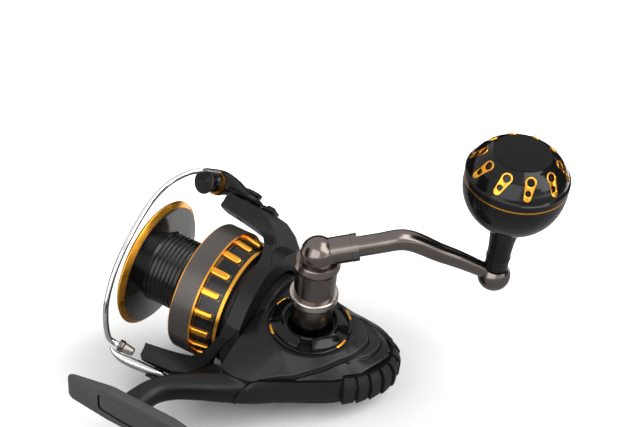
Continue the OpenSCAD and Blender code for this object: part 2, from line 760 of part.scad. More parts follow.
// Cross-section of the rotor's shell: a ring that sweeps into two flat arms. The sweep's centre and the
// two points where it touches the arm's side and the ring
shell_r = rotor_ring_d / 2 + 1;
sweep_r = 12;
arm_half = arm_w / 2;
sweep_w = sqrt((shell_r + sweep_r) * (shell_r + sweep_r) - (arm_half + sweep_r) * (arm_half + sweep_r));
sweep_turn = atan2(sweep_w, arm_half + sweep_r);
shell_quarter = concat([[arm_half, arm_top]],
  [for (t = [0:0.2:1]) let (a = 180 + t * sweep_turn)
    [arm_half + sweep_r, sweep_w] + sweep_r * [cos(a), sin(a)]],
  [for (t = [0.2:0.2:1]) let (a = sweep_turn * (1 - t)) shell_r * [cos(a), sin(a)]]);
function reversed(p) = [for (i = [len(p) - 1:-1:0]) p[i]];
shell_points = concat(shell_quarter, [for (p = reversed(shell_quarter)) [p[0], -p[1]]],
  [for (p = shell_quarter) [-p[0], -p[1]]], [for (p = reversed(shell_quarter)) [-p[0], p[1]]]);

// Side view of the shell, from the rear edge round one arm and back along the skirt
arm_outer = [[rotor_rear, 29], [-22, 33.5], [-17, 38.4], [-11.6, 41.6], [-4, 43], [3, arm_top],
  [20, arm_top], [22, 41.5], [21.2, 36]];
arm_inner = [[11, 34.8], [4, 33.7], [-3, 32.2], [-8, 29.8], [-13, 25.6], [-16.6, 20], [-18, 14]];
function both_arms(p) = concat(p, [for (q = reversed(p)) [q[0], -q[1]]]);
full_points = both_arms(concat(arm_outer, arm_inner));
// The same outline on the arm's sides, where a wide slope takes its outer edge away
face_outer = [[rotor_rear, 15], [-21, 20.5], [-16, 27.5], [-9, 34.8], [-3, 39.8], [4, 42.2], [19, 43.2],
  [20.6, 41.5], [20.6, 36]];
face_points = both_arms(concat(face_outer, arm_inner));
ridge_half = 2;
// Solid between the full outline in the middle and the narrower one on the sides
module arm_solid() {
  reach = 40;
  levels = [[-reach, face_points], [-arm_half, face_points], [-ridge_half, full_points],
    [ridge_half, full_points], [arm_half, face_points], [reach, face_points]];
  n = len(face_points);
  points = [for (l = levels) for (p = l[1]) [p[0], l[0], p[1]]];
  walls = [for (i = [0:len(levels) - 2]) for (k = [0:n - 1])
    let (a = i * n + k, b = i * n + (k + 1) % n) each [[b, a, b + n], [b + n, a, a + n]]];
  near = [for (k = [0:n - 1]) k];
  far = [for (k = [n - 1:-1:0]) (len(levels) - 1) * n + k];
  polyhedron(points, concat(walls, [near, far]));
}

module rotor() {
  color("#1e1f21") placed() on_rotor() difference() {
    union() {
      lathe_x([[cup_in, rotor_rear], [rotor_ring_d / 2, rotor_rear],
        [rotor_ring_d / 2, rotor_ring_front - 1.5], [rotor_ring_d / 2 - 1.5, rotor_ring_front],
        [cup_out, rotor_ring_front], [cup_out, rotor_front - 1], [cup_out - 1, rotor_front],
        [pinion_r + seat_gap, rotor_front], [pinion_r + seat_gap, hub_x], [8, hub_x],
        [8, rotor_front - 3], [cup_in, rotor_front - 3]]);
      difference() {
        intersection() {
          translate([rotor_rear, 0, 0]) rotate([90, 0, 90]) linear_extrude(60) polygon(shell_points);
          arm_solid();
        }
        ring_x(rotor_ring_front - 1, 60, skirt_r + pass_gap, 0);
        ring_x(rotor_rear - 1, rotor_ring_front, cup_out, 0);
      }
    }
    translate([pivot_x, 0, -60]) cylinder(r = pin_r + seat_gap, h = 120);
    translate([pivot_x, 0, arm_top - spring_len - 2 * seat_gap]) cylinder(r = spring_r + seat_gap, h = 20);
    for (side = [0, 1])
      mirror([0, 0, side]) translate([cover_screw_x, 0, arm_top - 7])
        cylinder(r = cover_screw_r + seat_gap, h = 20);
  }
}
hub_x = -12;

module rotor_nut() {
  color("#b9a15d") placed() difference() {
    translate([rotor_front + 0.05, 0, 0]) rotate([0, 90, 0]) cylinder(r = nut_r, h = 4, $fn = 6);
    ring_x(rotor_front - 1, nut_x + 2, pinion_r + seat_gap, 0);
  }
}

pinion_rear = -40;
pinion_teeth = 7;
module pinion() {
  color("#c6a24e") placed() difference() {
    union() {
      ring_x(pinion_rear + 10.5, nut_x, pinion_r, 0);
      translate([pinion_rear, 0, 0]) rotate([0, 90, 0]) linear_extrude(10.6) union() {
        circle(r = pinion_root);
        for (i = [0:pinion_teeth - 1])
          rotate(i * 360 / pinion_teeth) translate([0, -0.65]) square([pinion_r, 1.3]);
      }
    }
    ring_x(pinion_rear - 1, nut_x + 1, shaft_r + run_gap, 0);
  }
}

module clutch_sleeve() {
  color("silver") placed() ring_x(clutch_x + 0.2, hub_x - 0.05, clutch_in - pass_gap, pinion_r + seat_gap);
}

// Plates over the spring side of each arm, with one screw each
cover_t = 1.3;
cover_half = 3.2;
cover_back = -4;
cover_front = pivot_x - lever_r - pass_gap;
cover_screw_x = (cover_back + cover_front) / 2;
cover_screw_r = 1.2;
module arm_covers() {
  color("#2a2b2d") placed() on_rotor()
    for (side = [0, 1])
      mirror([0, 0, side]) difference() {
        translate([cover_back, -cover_half, arm_top + seat_gap])
          cube([cover_front - cover_back, 2 * cover_half, cover_t]);
        translate([cover_screw_x, 0, arm_top - 1]) cylinder(r = cover_screw_r + seat_gap, h = 5);
      }
}

module arm_cover_screws() {
  color("silver") placed() on_rotor()
    for (side = [0, 1])
      mirror([0, 0, side]) translate([cover_screw_x, 0, arm_top + seat_gap + cover_t]) difference() {
        union() {
          translate([0, 0, -8]) cylinder(r = cover_screw_r, h = 8.1);
          cylinder(r = 2.2, h = 1);
        }
        translate([0, 0, 0.5]) cylinder(r = 0.9, h = 2, $fn = 6);
      }
}

// Torsion spring round the roller arm's pivot, in a pocket under the lever
spring_r = 4.2;
spring_len = 4.5;
module bail_spring() {
  color("silver") placed() on_rotor() translate([pivot_x, 0, arm_top - spring_len - seat_gap])
    ring_z(0, spring_len - 0.2, spring_r, pin_r + seat_gap);
}

module bail_pivots() {
  color("silver") placed() on_rotor()
    for (side = [0, 1])
      mirror([0, 0, side]) translate([pivot_x, 0, 0]) difference() {
        union() {
          translate([0, 0, 36]) cylinder(r = pin_r, h = lever_hi + pass_gap - 36);
          translate([0, 0, lever_hi + pass_gap]) cylinder(r = pivot_head_r, h = 1.4);
        }
        translate([0, 0, lever_hi + pass_gap + 0.6]) cylinder(r = 1.4, h = 2, $fn = 6);
      }
}

// Bail, swinging on the two pivots

module bail_arm() {
  color("#17181a") placed() on_rotor() difference() {
    union() {
      translate([pivot_x, 0, lever_lo]) cylinder(r = lever_r, h = lever_hi - lever_lo);
      hull() {
        translate([pivot_x + 3, 0, lever_lo]) cylinder(r = 5.5, h = lever_hi - lever_lo, $fn = 32);
        translate(roller_at - 2.2 * roller_dir + [-0.4, 0, 2.2]) sphere(r = 3.4, $fn = 32);
      }
      translate(roller_at) along(roller_dir) translate([0, 0, -2.4]) cylinder(r = roller_r + 0.7, h = 2.4);
    }
    translate([pivot_x, 0, 0]) cylinder(r = pin_r + run_gap, h = 60);
    translate([pivot_x, 0, lever_hi]) cylinder(r = pivot_head_r + pass_gap, h = 10);
    translate(roller_at) along(roller_dir) {
      cylinder(r = roller_r + 0.8, h = 20);
      translate([0, 0, -1.6]) cylinder(r = axle_r + seat_gap, h = 4);
    }
  }
}

module bail_holder() {
  tip = socket_end - 1.5 * holder_dir;
  color("#b9bbbd") placed() on_rotor() difference() {
    union() {
      translate([pivot_x, 0, -lever_hi]) cylinder(r = lever_r - 0.6, h = lever_hi - lever_lo);
      hull() {
        translate([pivot_x + 2, 0, -lever_hi]) cylinder(r = 4.6, h = 2, $fn = 32);
        translate([tip[0], tip[1], -lever_hi]) cylinder(r = 3.6, h = 1.9, $fn = 32);
      }
    }
    translate([pivot_x, 0, -60]) cylinder(r = pin_r + run_gap, h = 60);
  }
}

nut_len = 2.6;
module wire_socket() {
  color("#8d8f92") placed() on_rotor() translate(socket_end) along(-holder_dir) difference() {
    union() {
      cylinder(r = 2.9, h = nut_len);
      cylinder(r = 2.4, h = socket_len);
    }
    translate([0, 0, -1]) cylinder(r = wire_d / 2 + seat_gap, h = 3);
  }
}

// Points that the wire follows, from the roller to its socket
wire_points = [[29.3, 5.7, 50.1], [31, 10.9, 47.8], [32.8, 16, 45.4], [37, 19.8, 40.2], [41, 23, 31.6],
  [41.3, 29, 19], [40, 33, 1.5], [39, 32, -15], [37.8, 27, -28], [36.4, 20.6, -36],
  socket_end + 5 * holder_dir + [0, 2, 1], socket_end + 2.4 * holder_dir, socket_end + 0.1 * holder_dir];
module bail_wire() {
  path = open_curve(wire_points, 4);
  color("#d4d6d8") placed() on_rotor()
    sweep(path, [for (p = path) wire_d / 2], [0.75, -0.66, 0], 12);
}

module roller_axle() {
  color("silver") placed() on_rotor() translate(roller_at) along(roller_dir) {
    translate([0, 0, -1.5]) cylinder(r = axle_r, h = 1.5 + ring_t + roller_len + 0.2 + 0.1);
    translate([0, 0, ring_t + roller_len + 0.3]) cylinder(r = roller_r, h = cap_t);
  }
}

module roller_ring() {
  color("#e0a030") placed() on_rotor() translate(roller_at) along(roller_dir)
    ring_z(0.05, ring_t, roller_r + 0.4, axle_r + seat_gap);
}

module line_roller() {
  z0 = ring_t + 0.1;
  z1 = z0 + roller_len;
  color("#101012") placed() on_rotor() translate(roller_at) along(roller_dir) rotate_extrude()
    polygon([[axle_r + run_gap, z0], [roller_r - 0.6, z0], [roller_r - 0.6, z0 + 1],
      [roller_r - 1.5, z0 + 2.2], [roller_r - 1.5, z1 - 2.2], [roller_r - 0.6, z1 - 1],
      [roller_r - 0.6, z1], [axle_r + run_gap, z1]]);
}

// Main shaft with its slider

shaft_front = lip_front + drag_knob_len - 1.6;
module main_shaft() {
  color("silver") placed() {
    ring_x(pin_x - 2.6, shaft_front, shaft_r, 0);
    ring_x(nut_x + 1.2, hub_back - 0.1, 5, 0);
  }
}

slider_len = 5.4;
module slider() {
  color("#8d8a84") placed() difference() {
    translate([pin_x - slider_len / 2 - 0.4, -9, -3.8]) cube([slider_len, 19, 3.8 + osc_z - pass_gap]);
    ring_x(pin_x - 20, pin_x + 20, shaft_r + seat_gap, 0);
    translate([pin_x - 20, guide_y, 0]) rotate([0, 90, 0]) cylinder(r = guide_r + run_gap, h = 40);
    translate([pin_x - 1.6, -20, osc_z - pass_gap - 2.2]) cube([3.2, 40, 4]);
  }
}

// Spool, turning on the main shaft against the drag

hub_back = plate_x + 5.5;
groove_pitch = (arbor_len - 2) / groove_count;
function groove(i) = let (x = band_len + 1 + i * groove_pitch, r = arbor_d / 2)
  [[r, x], [r, x + groove_pitch * 0.5], [r - 0.6, x + groove_pitch * 0.6],
    [r - 0.6, x + groove_pitch * 0.9]];
module spool() {
  r = arbor_d / 2;
  color("#3a3836") placed() lathe_x(concat(
    [[shaft_r + run_gap, cup_x], [shaft_r + run_gap, hub_back], [11, hub_back], [11, plate_x],
      [skirt_in, plate_x], [skirt_in, spool_rear], [recess_rear, spool_rear], [recess_rear, -bar_len],
      [recess_front, -line_t], [recess_front, 0], [skirt_r, 0], [skirt_r, band_len - 0.6],
      [skirt_r - 0.6, band_len], [r + 0.8, band_len], [r, band_len + 0.6]],
    [for (i = [0:groove_count - 1]) each groove(i)],
    [[r, flange_x - 0.8], [r + 0.8, flange_x], [lip_in, lip_back], [lip_in, lip_front - 0.6],
      [lip_in - 4, lip_front - 1.6], [cup_r + 2, lip_front - 2.2], [cup_r, lip_front - 2.2],
      [cup_r, cup_x]]));
}

module spool_lip() {
  color("#d9922a") placed() lathe_x([[lip_in + seat_gap, lip_back], [lip_r, lip_x], [lip_r, lip_x + 0.5],
    [lip_r - 0.8, lip_front], [lip_in + seat_gap, lip_front]]);
}

// Turn of the first bar, and how far the bars stop short of the rear ring
bar_turn = -5.7;
bar_short = 1.8;
bar_foot = recess_rear + (recess_front - recess_rear) * bar_short / (bar_len - line_t) + seat_gap;
module skirt_bars() {
  color("#d9922a") placed() intersection() {
    lathe_x([[recess_front + seat_gap, -line_t - 0.05], [skirt_r - 0.3, -line_t - 0.05],
      [bar_foot + 1.1, -bar_len + bar_short], [bar_foot, -bar_len + bar_short]]);
    for (i = [0:bar_count - 1])
      rotate([i * 360 / bar_count + bar_turn, 0, 0])
        translate([-30, -bar_w / 2, 5]) cube([30, bar_w, 40]);
  }
}

module skirt_ring() {
  color("#d9922a") placed() ring_x(spool_rear, -bar_len, recess_rear + 0.9, recess_rear + seat_gap);
}

module band_line() {
  color("#e09a26") placed() ring_x(-line_t, -0.05, skirt_r + 0.05, recess_front + seat_gap);
}

washer_t = 1.3;
module drag_washers() {
  color("#4c463f") placed()
    for (i = [0:washer_count - 1])
      ring_x(cup_x + 0.1 + i * washer_t, cup_x + 0.1 + (i + 1) * washer_t - 0.06, cup_r - 0.3,
        shaft_r + run_gap);
}

stack_x = cup_x + 0.1 + washer_count * washer_t;
module drag_retainer() {
  color("silver") placed() ring_x(stack_x, stack_x + 0.9, cup_r - seat_gap, cup_r - 1.6);
}

module drag_knob() {
  r = drag_knob_d / 2;
  back = lip_front - 0.9;
  front = lip_front + drag_knob_len;
  color("#151517") placed() difference() {
    union() {
      lathe_x([[0, stack_x + 0.2], [8, stack_x + 0.2], [8, stack_x + 1.2], [cup_r - 2, stack_x + 1.4],
        [cup_r - 2, back], [r - 1, back], [r, back + 1], [r, front - 1.6], [r - 1.6, front], [0, front]]);
    }
    ring_x(0, shaft_front + 0.3, shaft_r + run_gap, 0);
    for (i = [0:19])
      rotate([i * 18, 0, 0]) translate([back - 1, 0, r + 0.7]) rotate([0, 90, 0]) cylinder(r = 1.3, h = 20);
  }
}

body_housing();
side_cover();
rear_cover();
cover_screws();
rear_screws();
side_collar();
collar_marks();
side_cap();
handle_bearing();
cap_bearing();
pinion_bearing();
clutch_outer();
clutch_retainer();
guide_rod();
oscillation_post();
drive_shaft();
drive_gear();
oscillation_pinion();
handle_column();
column_ring();
upper_ring();
handle_elbow();
sleeve_ring();
handle_arm();
knob_spindle();
knob_neck();
knob_lower_shell();
knob_line();
knob_upper_shell();
knob_windows();
knob_cap();
knob_bearings();
oscillation_gear();
rotor();
rotor_nut();
pinion();
clutch_sleeve();
arm_covers();
arm_cover_screws();
bail_spring();
bail_pivots();
bail_arm();
bail_holder();
bail_wire();
wire_socket();
roller_axle();
roller_ring();
line_roller();
main_shaft();
slider();
spool();
spool_lip();
skirt_bars();
skirt_ring();
band_line();
drag_washers();
drag_retainer();
drag_knob();
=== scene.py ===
"""Looks of a spinning reel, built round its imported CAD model.

Points are in millimetres in the spool's own frame, +X forward, +Y towards the foot and +Z along the
handle axis, and at() takes them to the row frame.
"""

import bisect
import json
import math

import bmesh
import bpy
from mathutils import Matrix, Vector


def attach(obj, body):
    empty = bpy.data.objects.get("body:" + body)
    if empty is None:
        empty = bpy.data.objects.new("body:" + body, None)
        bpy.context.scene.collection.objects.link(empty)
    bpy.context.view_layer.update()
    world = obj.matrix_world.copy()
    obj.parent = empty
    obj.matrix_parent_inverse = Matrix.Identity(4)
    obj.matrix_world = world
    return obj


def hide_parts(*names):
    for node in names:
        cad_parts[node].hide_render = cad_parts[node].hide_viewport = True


MM = 0.001

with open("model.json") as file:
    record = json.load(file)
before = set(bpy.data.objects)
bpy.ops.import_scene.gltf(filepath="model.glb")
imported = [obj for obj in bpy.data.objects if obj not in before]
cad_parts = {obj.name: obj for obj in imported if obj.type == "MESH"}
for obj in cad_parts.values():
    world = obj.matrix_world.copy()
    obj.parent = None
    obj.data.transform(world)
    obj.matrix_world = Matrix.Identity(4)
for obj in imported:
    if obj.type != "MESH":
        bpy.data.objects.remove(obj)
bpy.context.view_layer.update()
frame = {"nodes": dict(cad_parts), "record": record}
nodes = frame["nodes"]

# Camera, fitted to the photo
CAMERA_AT = (-0.20404, 0.28230, 0.42660)
CAMERA_RIGHT = (-0.86611, -0.49272, 0.08418)
CAMERA_UP = (0.38220, -0.54426, 0.74679)
CAMERA_BACK = (-0.32214, 0.67897, 0.65971)
CAMERA_LENS = 73.52

# Upward normal of the floor that the reel lies on
FLOOR_UP = Vector((0.287, -0.195, 0.938)).normalized()

# Middle of the foot's flat face, the origin of the row frame
ROW_ORIGIN = Vector((-12.6, 82.8, 0))
# Turn of the rotor's own frame about the spool axis
ROTOR_TURN = Matrix.Rotation(math.radians(56), 3, "X")

# Handle axis, the body's front, the cover's top and the parting line between cover and body
HANDLE = Vector((-48.9, 8.8))
FRONT_X = -26.3
COVER_Z = 17
PARTING_Z = 9


def at(p):
    """Point of the row frame, in metres."""
    return (Vector(p) - ROW_ORIGIN) * MM


def on_rotor(p):
    """Point of the row frame, from the rotor's own frame."""
    return at(ROTOR_TURN @ Vector(p))


def add_camera():
    data = bpy.data.cameras.new("camera")
    data.lens = CAMERA_LENS
    data.sensor_width = 36
    data.clip_start = 0.01
    camera = bpy.data.objects.new("camera", data)
    bpy.context.scene.collection.objects.link(camera)
    axes = Matrix((CAMERA_RIGHT, CAMERA_UP, CAMERA_BACK)).transposed().to_4x4()
    camera.matrix_world = Matrix.Translation(CAMERA_AT) @ axes
    bpy.context.scene.camera = camera


# Materials


class Shader:
    """A material and short ways to add nodes to it."""

    def __init__(self, name):
        self.material = bpy.data.materials.new(name)
        self.material.use_nodes = True
        self.tree = self.material.node_tree
        self.bsdf = self.tree.nodes["Principled BSDF"]
        self.output = self.tree.nodes["Material Output"]

    def add(self, kind, **sockets):
        node = self.tree.nodes.new(kind)
        for key, value in sockets.items():
            node.inputs[key.replace("_", " ")].default_value = value
        return node

    def link(self, out, into):
        self.tree.links.new(out, into)

    def place(self, stretch=(1, 1, 1)):
        """Object coordinates, stretched along each axis."""
        coords = self.add("ShaderNodeTexCoord")
        mapping = self.add("ShaderNodeMapping", Scale=stretch)
        self.link(coords.outputs["Object"], mapping.inputs["Vector"])
        return mapping.outputs["Vector"]

    def noise(self, scale, detail, stretch=(1, 1, 1)):
        node = self.add("ShaderNodeTexNoise", Scale=scale, Detail=detail)
        self.link(self.place(stretch), node.inputs["Vector"])
        return node.outputs["Fac"]

    def span(self, value, low, high):
        """Turns a value of about 0.3 to 0.7 into the range low to high."""
        node = self.add("ShaderNodeMapRange", From_Min=0.3, From_Max=0.7, To_Min=low, To_Max=high)
        self.link(value, node.inputs["Value"])
        return node.outputs["Result"]

    def bump(self, height, distance):
        node = self.add("ShaderNodeBump", Distance=distance, Strength=0.5)
        self.link(height, node.inputs["Height"])
        self.link(node.outputs["Normal"], self.bsdf.inputs["Normal"])

    def tone(self, value, dark, light):
        """Colour between two tones, by a value of about 0.3 to 0.7."""
        node = self.add("ShaderNodeMix")
        node.data_type = "RGBA"
        node.inputs["A"].default_value = (*dark, 1)
        node.inputs["B"].default_value = (*light, 1)
        self.link(self.span(value, 0, 1), node.inputs["Factor"])
        self.link(node.outputs["Result"], self.bsdf.inputs["Base Color"])


# Scale of the uneven colour, and the spread of the gloss
CLOUD_SCALE = 70
GLOSS_SPREAD = 0.12


def surface(name, colour, rough, metal=0.0, grain=900, depth=0.00002, vary=0.12, stretch=(1, 1, 1),
            gloss=0.5):
    """Material with fine grain, uneven gloss and a little uneven colour."""
    s = Shader(name)
    s.bsdf.inputs["Metallic"].default_value = metal
    s.bsdf.inputs["Specular IOR Level"].default_value = gloss
    cloud = s.noise(CLOUD_SCALE, 4)
    s.tone(cloud, [c * (1 - vary) for c in colour], [c * (1 + vary) for c in colour])
    fine = s.noise(grain, 2, stretch)
    spread = s.span(fine, rough * (1 - GLOSS_SPREAD), rough * (1 + GLOSS_SPREAD))
    s.link(spread, s.bsdf.inputs["Roughness"])
    s.bump(fine, depth)
    return s.material


SATIN_BLACK = surface("satin_black", (0.0062, 0.0063, 0.0068), 0.36, grain=1500, depth=0.00001, gloss=0.22)
COVER_BLACK = surface("cover_black", (0.0066, 0.0067, 0.0072), 0.37, grain=1500, depth=0.00001, gloss=0.24)
MATT_BLACK = surface("matt_black", (0.0075, 0.0075, 0.0078), 0.52, grain=1200, depth=0.00003, gloss=0.24)
GLOSS_BLACK = surface("gloss_black", (0.0035, 0.0035, 0.004), 0.13, grain=600, depth=0.000002, gloss=0.25)
DISC_BLACK = surface("disc_black", (0.004, 0.004, 0.0045), 0.24, grain=900, depth=0.000004, gloss=0.10)
NECK_BLACK = surface("neck_black", (0.0045, 0.0045, 0.005), 0.28, grain=900, depth=0.000006, gloss=0.18)
# Painted light: the foot's black is a lighter copy of the body's paint, for the light that falls on its face
FOOT_LIT_BLACK = surface("foot_lit_black", (0.042, 0.042, 0.0445), 0.48, grain=1300, depth=0.00002, gloss=0.4)
# Painted highlight: lighter and glossier black for the ridges' rounded edges, standing in for the lit lines
# along them
RIDGE_HIGHLIGHT_BLACK = surface("ridge_highlight_black", (0.014, 0.014, 0.015), 0.33, grain=1500, depth=0.000006, gloss=0.42)
# Painted shade: near-black with almost no gloss, for thin lines where shade falls in grooves and round sunk
# fields
PAINTED_SHADE_BLACK = surface("painted_shade_black", (0.0015, 0.0015, 0.0016), 0.6, grain=1500, depth=0.00001, gloss=0.05)
CAP_BLACK = surface("cap_black", (0.011, 0.011, 0.012), 0.34, grain=1500, depth=0.000006, gloss=0.3)
GOLD = surface("gold", (0.74, 0.33, 0.036), 0.27, metal=1, grain=2400, depth=0.000001, vary=0.06)
SKIRT = surface("skirt", (0.088, 0.079, 0.073), 0.34, metal=0.75, grain=2200, depth=0.000006,
                stretch=(1, 0.05, 0.05))
FLANGE = surface("flange", (0.36, 0.355, 0.35), 0.13, metal=1, grain=1800, depth=0.000003)
# The arbor's own black, also used as painted shade in the skirt's windows
ARBOR_BLACK_AND_SHADE = surface("arbor", (0.004, 0.004, 0.0045), 0.24, grain=1500, depth=0.000004, gloss=0.32)
GUNMETAL = surface("gunmetal", (0.152, 0.131, 0.120), 0.21, metal=1, grain=700, depth=0.000002)
DARK_RING = surface("dark_ring", (0.185, 0.160, 0.147), 0.20, metal=1, grain=700, depth=0.000002)
LIGHT_GUNMETAL = surface("light_gunmetal", (0.40, 0.355, 0.32), 0.24, metal=1, grain=900, depth=0.000003)
STEEL = surface("steel", (0.55, 0.55, 0.54), 0.27, metal=1, grain=1500, depth=0.000006, stretch=(0.1, 1, 1))
TUBE_GREY = surface("tube_grey", (0.30, 0.265, 0.235), 0.38, metal=0.9, grain=1700, depth=0.00001)
CHROME = surface("chrome", (0.72, 0.73, 0.74), 0.08, metal=1, grain=400, depth=0.000001)
BRASS = surface("brass", (0.62, 0.45, 0.20), 0.30, metal=1, grain=1200)
ZINC = surface("zinc", (0.50, 0.49, 0.46), 0.35, metal=1, grain=1200)
FIBRE = surface("fibre", (0.13, 0.12, 0.11), 0.8, grain=2500, depth=0.00006)
NYLON = surface("nylon", (0.42, 0.41, 0.39), 0.5, grain=1200)

FINISHES = {
    "black_paint": SATIN_BLACK, "cover_paint": COVER_BLACK, "black_plastic": MATT_BLACK,
    "gloss_black": GLOSS_BLACK, "gold": GOLD, "skirt_grey": SKIRT, "gunmetal": GUNMETAL,
    "light_gunmetal": LIGHT_GUNMETAL, "steel": STEEL, "bright_wire": CHROME, "gear_brass": BRASS,
    "gear_zinc": ZINC, "slider_plastic": NYLON, "drag_fibre": FIBRE,
}
# Nodes whose finish in the photo differs from the rest of their slot
OWN_FINISH = {
    "upper_ring": DARK_RING, "sleeve_ring": GUNMETAL, "bail_pivots": SATIN_BLACK,
    "arm_cover_screws": SATIN_BLACK, "knob_cap": DISC_BLACK, "knob_neck": NECK_BLACK,
    "line_roller": GLOSS_BLACK, "bail_spring": SATIN_BLACK, "rear_screws": MATT_BLACK,
    "cover_screws": COVER_BLACK,
}


def dress_cad():
    """Gives every CAD node its finish, by its slot in the record."""
    for part in frame["record"]["subparts"]:
        mesh = nodes[part["node"]].data
        mesh.materials.clear()
        mesh.materials.append(OWN_FINISH.get(part["node"], FINISHES[part["material_slot"]]))


def soften(node, width_mm):
    """Rounds a CAD node's sharp edges with modifiers."""
    piece = nodes[node]
    weld = piece.modifiers.new("weld", "WELD")
    weld.merge_threshold = 0.002 * MM
    bevel = piece.modifiers.new("bevel", "BEVEL")
    bevel.width = width_mm * MM
    bevel.segments = 2
    bevel.limit_method = "ANGLE"
    bevel.angle_limit = math.radians(30)
    bevel.use_clamp_overlap = True
    piece.modifiers.new("normals", "WEIGHTED_NORMAL")


# Mesh helpers


def smooth_curve(points, steps, closed=False):
    """Smooth curve through points."""
    points = [Vector(p) for p in points]
    n = len(points)
    out = []
    for i in range(n if closed else n - 1):
        if closed:
            a, b, c, d = (points[(i + k) % n] for k in (-1, 0, 1, 2))
        else:
            a, b, c, d = (points[min(max(i + k, 0), n - 1)] for k in (-1, 0, 1, 2))
        for j in range(steps):
            t = j / steps
            bend = (2 * a - 5 * b + 4 * c - d) * t * t + (3 * b - a - 3 * c + d) * t ** 3
            out.append(0.5 * (2 * b + (c - a) * t + bend))
    return out if closed else out + [points[-1]]


def step(t):
    """Smooth rise from 0 to 1."""
    t = min(max(t, 0), 1)
    return t * t * (3 - 2 * t)


def lookup(table, x):
    """Value at x in sorted pairs, held level past the ends."""
    i = bisect.bisect(table, (x,))
    if i == 0:
        return table[0][1]
    if i == len(table):
        return table[-1][1]
    (x0, y0), (x1, y1) = table[i - 1], table[i]
    return y0 + (y1 - y0) * (x - x0) / (x1 - x0)


def heading(path, i):
    """Direction of a path at its point i."""
    return (path[min(i + 1, len(path) - 1)] - path[max(i - 1, 0)]).normalized()


def outward(path, i, away):
    """Direction across a flat path at its point i, on the side that away points to."""
    ahead = heading(path, i)
    out = Vector((ahead.y, -ahead.x))
    return -out if out.dot(away) < 0 else out


def oval(count, power, second_power=None):
    """Points of a unit oval, with fuller corners for powers below 1."""
    points = []
    for k in range(count):
        angle = 2 * math.pi * k / count
        c, s = math.cos(angle), math.sin(angle)
        c = math.copysign(abs(c) ** power, c)
        s = math.copysign(abs(s) ** (second_power or power), s)
        points.append((c, s))
    return points


def skin(loops, capped=False):
    """Vertices and faces of a surface through closed loops of points."""
    n = len(loops[0])
    verts = [p for loop in loops for p in loop]
    faces = []
    for i in range(len(loops) - 1):
        for k in range(n):
            a, b = i * n + k, i * n + (k + 1) % n
            faces.append((a, b, b + n, a + n))
    if capped:
        for start in (0, (len(loops) - 1) * n):
            faces.append(tuple(range(start, start + n)))
    return verts, faces


def turned(profile, place, count):
    """Turned surface: place(r, h, angle) gives the point of a profile of radius and height."""
    loops = []
    for r, h in profile:
        loops.append([place(r, h, 2 * math.pi * k / count) for k in range(count)])
    return skin(loops)


def tube(path, sizes, side, place, count, power=1.0):
    """Tube along a path, with a half width and half height at each point."""
    section = oval(count, power)
    loops = []
    for i, p in enumerate(path):
        ahead = heading(path, i)
        a = ahead.cross(Vector(side)).normalized()
        b = ahead.cross(a)
        w, h = sizes[i]
        loops.append([place(p + w * c * a + h * s * b) for c, s in section])
    return skin(loops, capped=True)


def about_x(r, h, angle):
    return at((h, r * math.cos(angle), r * math.sin(angle)))


def about_handle(r, h, angle):
    return at((HANDLE.x + r * math.cos(angle), HANDLE.y + r * math.sin(angle), h))


def joined(*parts):
    """Vertices and faces of several parts as one."""
    verts, faces = [], []
    for v, f in parts:
        shift = len(verts)
        verts += v
        faces += [tuple(i + shift for i in face) for face in f]
    return verts, faces


def clean_mesh(name, part):
    """Mesh of vertices and faces, with doubles merged and its faces turned outward."""
    mesh = bpy.data.meshes.new(name)
    mesh.from_pydata([tuple(v) for v in part[0]], [], part[1])
    bm = bmesh.new()
    bm.from_mesh(mesh)
    bmesh.ops.remove_doubles(bm, verts=bm.verts, dist=1e-7)
    bmesh.ops.recalc_face_normals(bm, faces=bm.faces)
    if bm.calc_volume(signed=True) < 0:
        bmesh.ops.reverse_faces(bm, faces=bm.faces)
    bm.to_mesh(mesh)
    bm.free()
    return mesh


def add_piece(name, mesh, material, body, sharp):
    """Object of a mesh, or of vertices and faces, that rides on a CAD body; sharp is an angle in degrees."""
    if isinstance(mesh, tuple):
        mesh = clean_mesh(name, mesh)
    mesh.materials.clear()
    mesh.materials.append(material)
    mesh.shade_smooth()
    mesh.set_sharp_from_angle(angle=math.radians(sharp))
    piece = bpy.data.objects.new(name, mesh)
    bpy.context.scene.collection.objects.link(piece)
    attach(piece, body)
    return piece


def fused(name, parts, voxel_mm, rounds):
    """One smooth mesh of closed parts that overlap."""
    temp = bpy.data.objects.new(name, clean_mesh(name, joined(*parts)))
    bpy.context.scene.collection.objects.link(temp)
    remesh = temp.modifiers.new("remesh", "REMESH")
    remesh.mode = "VOXEL"
    remesh.voxel_size = voxel_mm * MM
    smooth = temp.modifiers.new("smooth", "SMOOTH")
    smooth.factor = 0.5
    smooth.iterations = rounds
    graph = bpy.context.evaluated_depsgraph_get()
    mesh = bpy.data.meshes.new_from_object(temp.evaluated_get(graph))
    bpy.data.objects.remove(temp)
    return mesh


# Body

BODY = [(-20, -26), (-32, -23.5), (-42, -18.5), (-52, -15.6), (-64, -15.2), (-74, -13.6), (-81.2, -8.6),
        (-84, 3), (-80.7, 12.8), (-72, 23.6), (-60.5, 32), (-49, 39.2), (-38.7, 45.2), (-24, 43), (-12, 20),
        (-12, -10)]
BODY_MIDDLE = Vector((-60, -2))
HOUSING_LEVELS = [(-17, 0.6), (-15.5, 0.7), (-12, 0.775), (-8, 0.846), (-4, 0.918), (-1, 0.98), (0.5, 1),
                  (9, 1)]
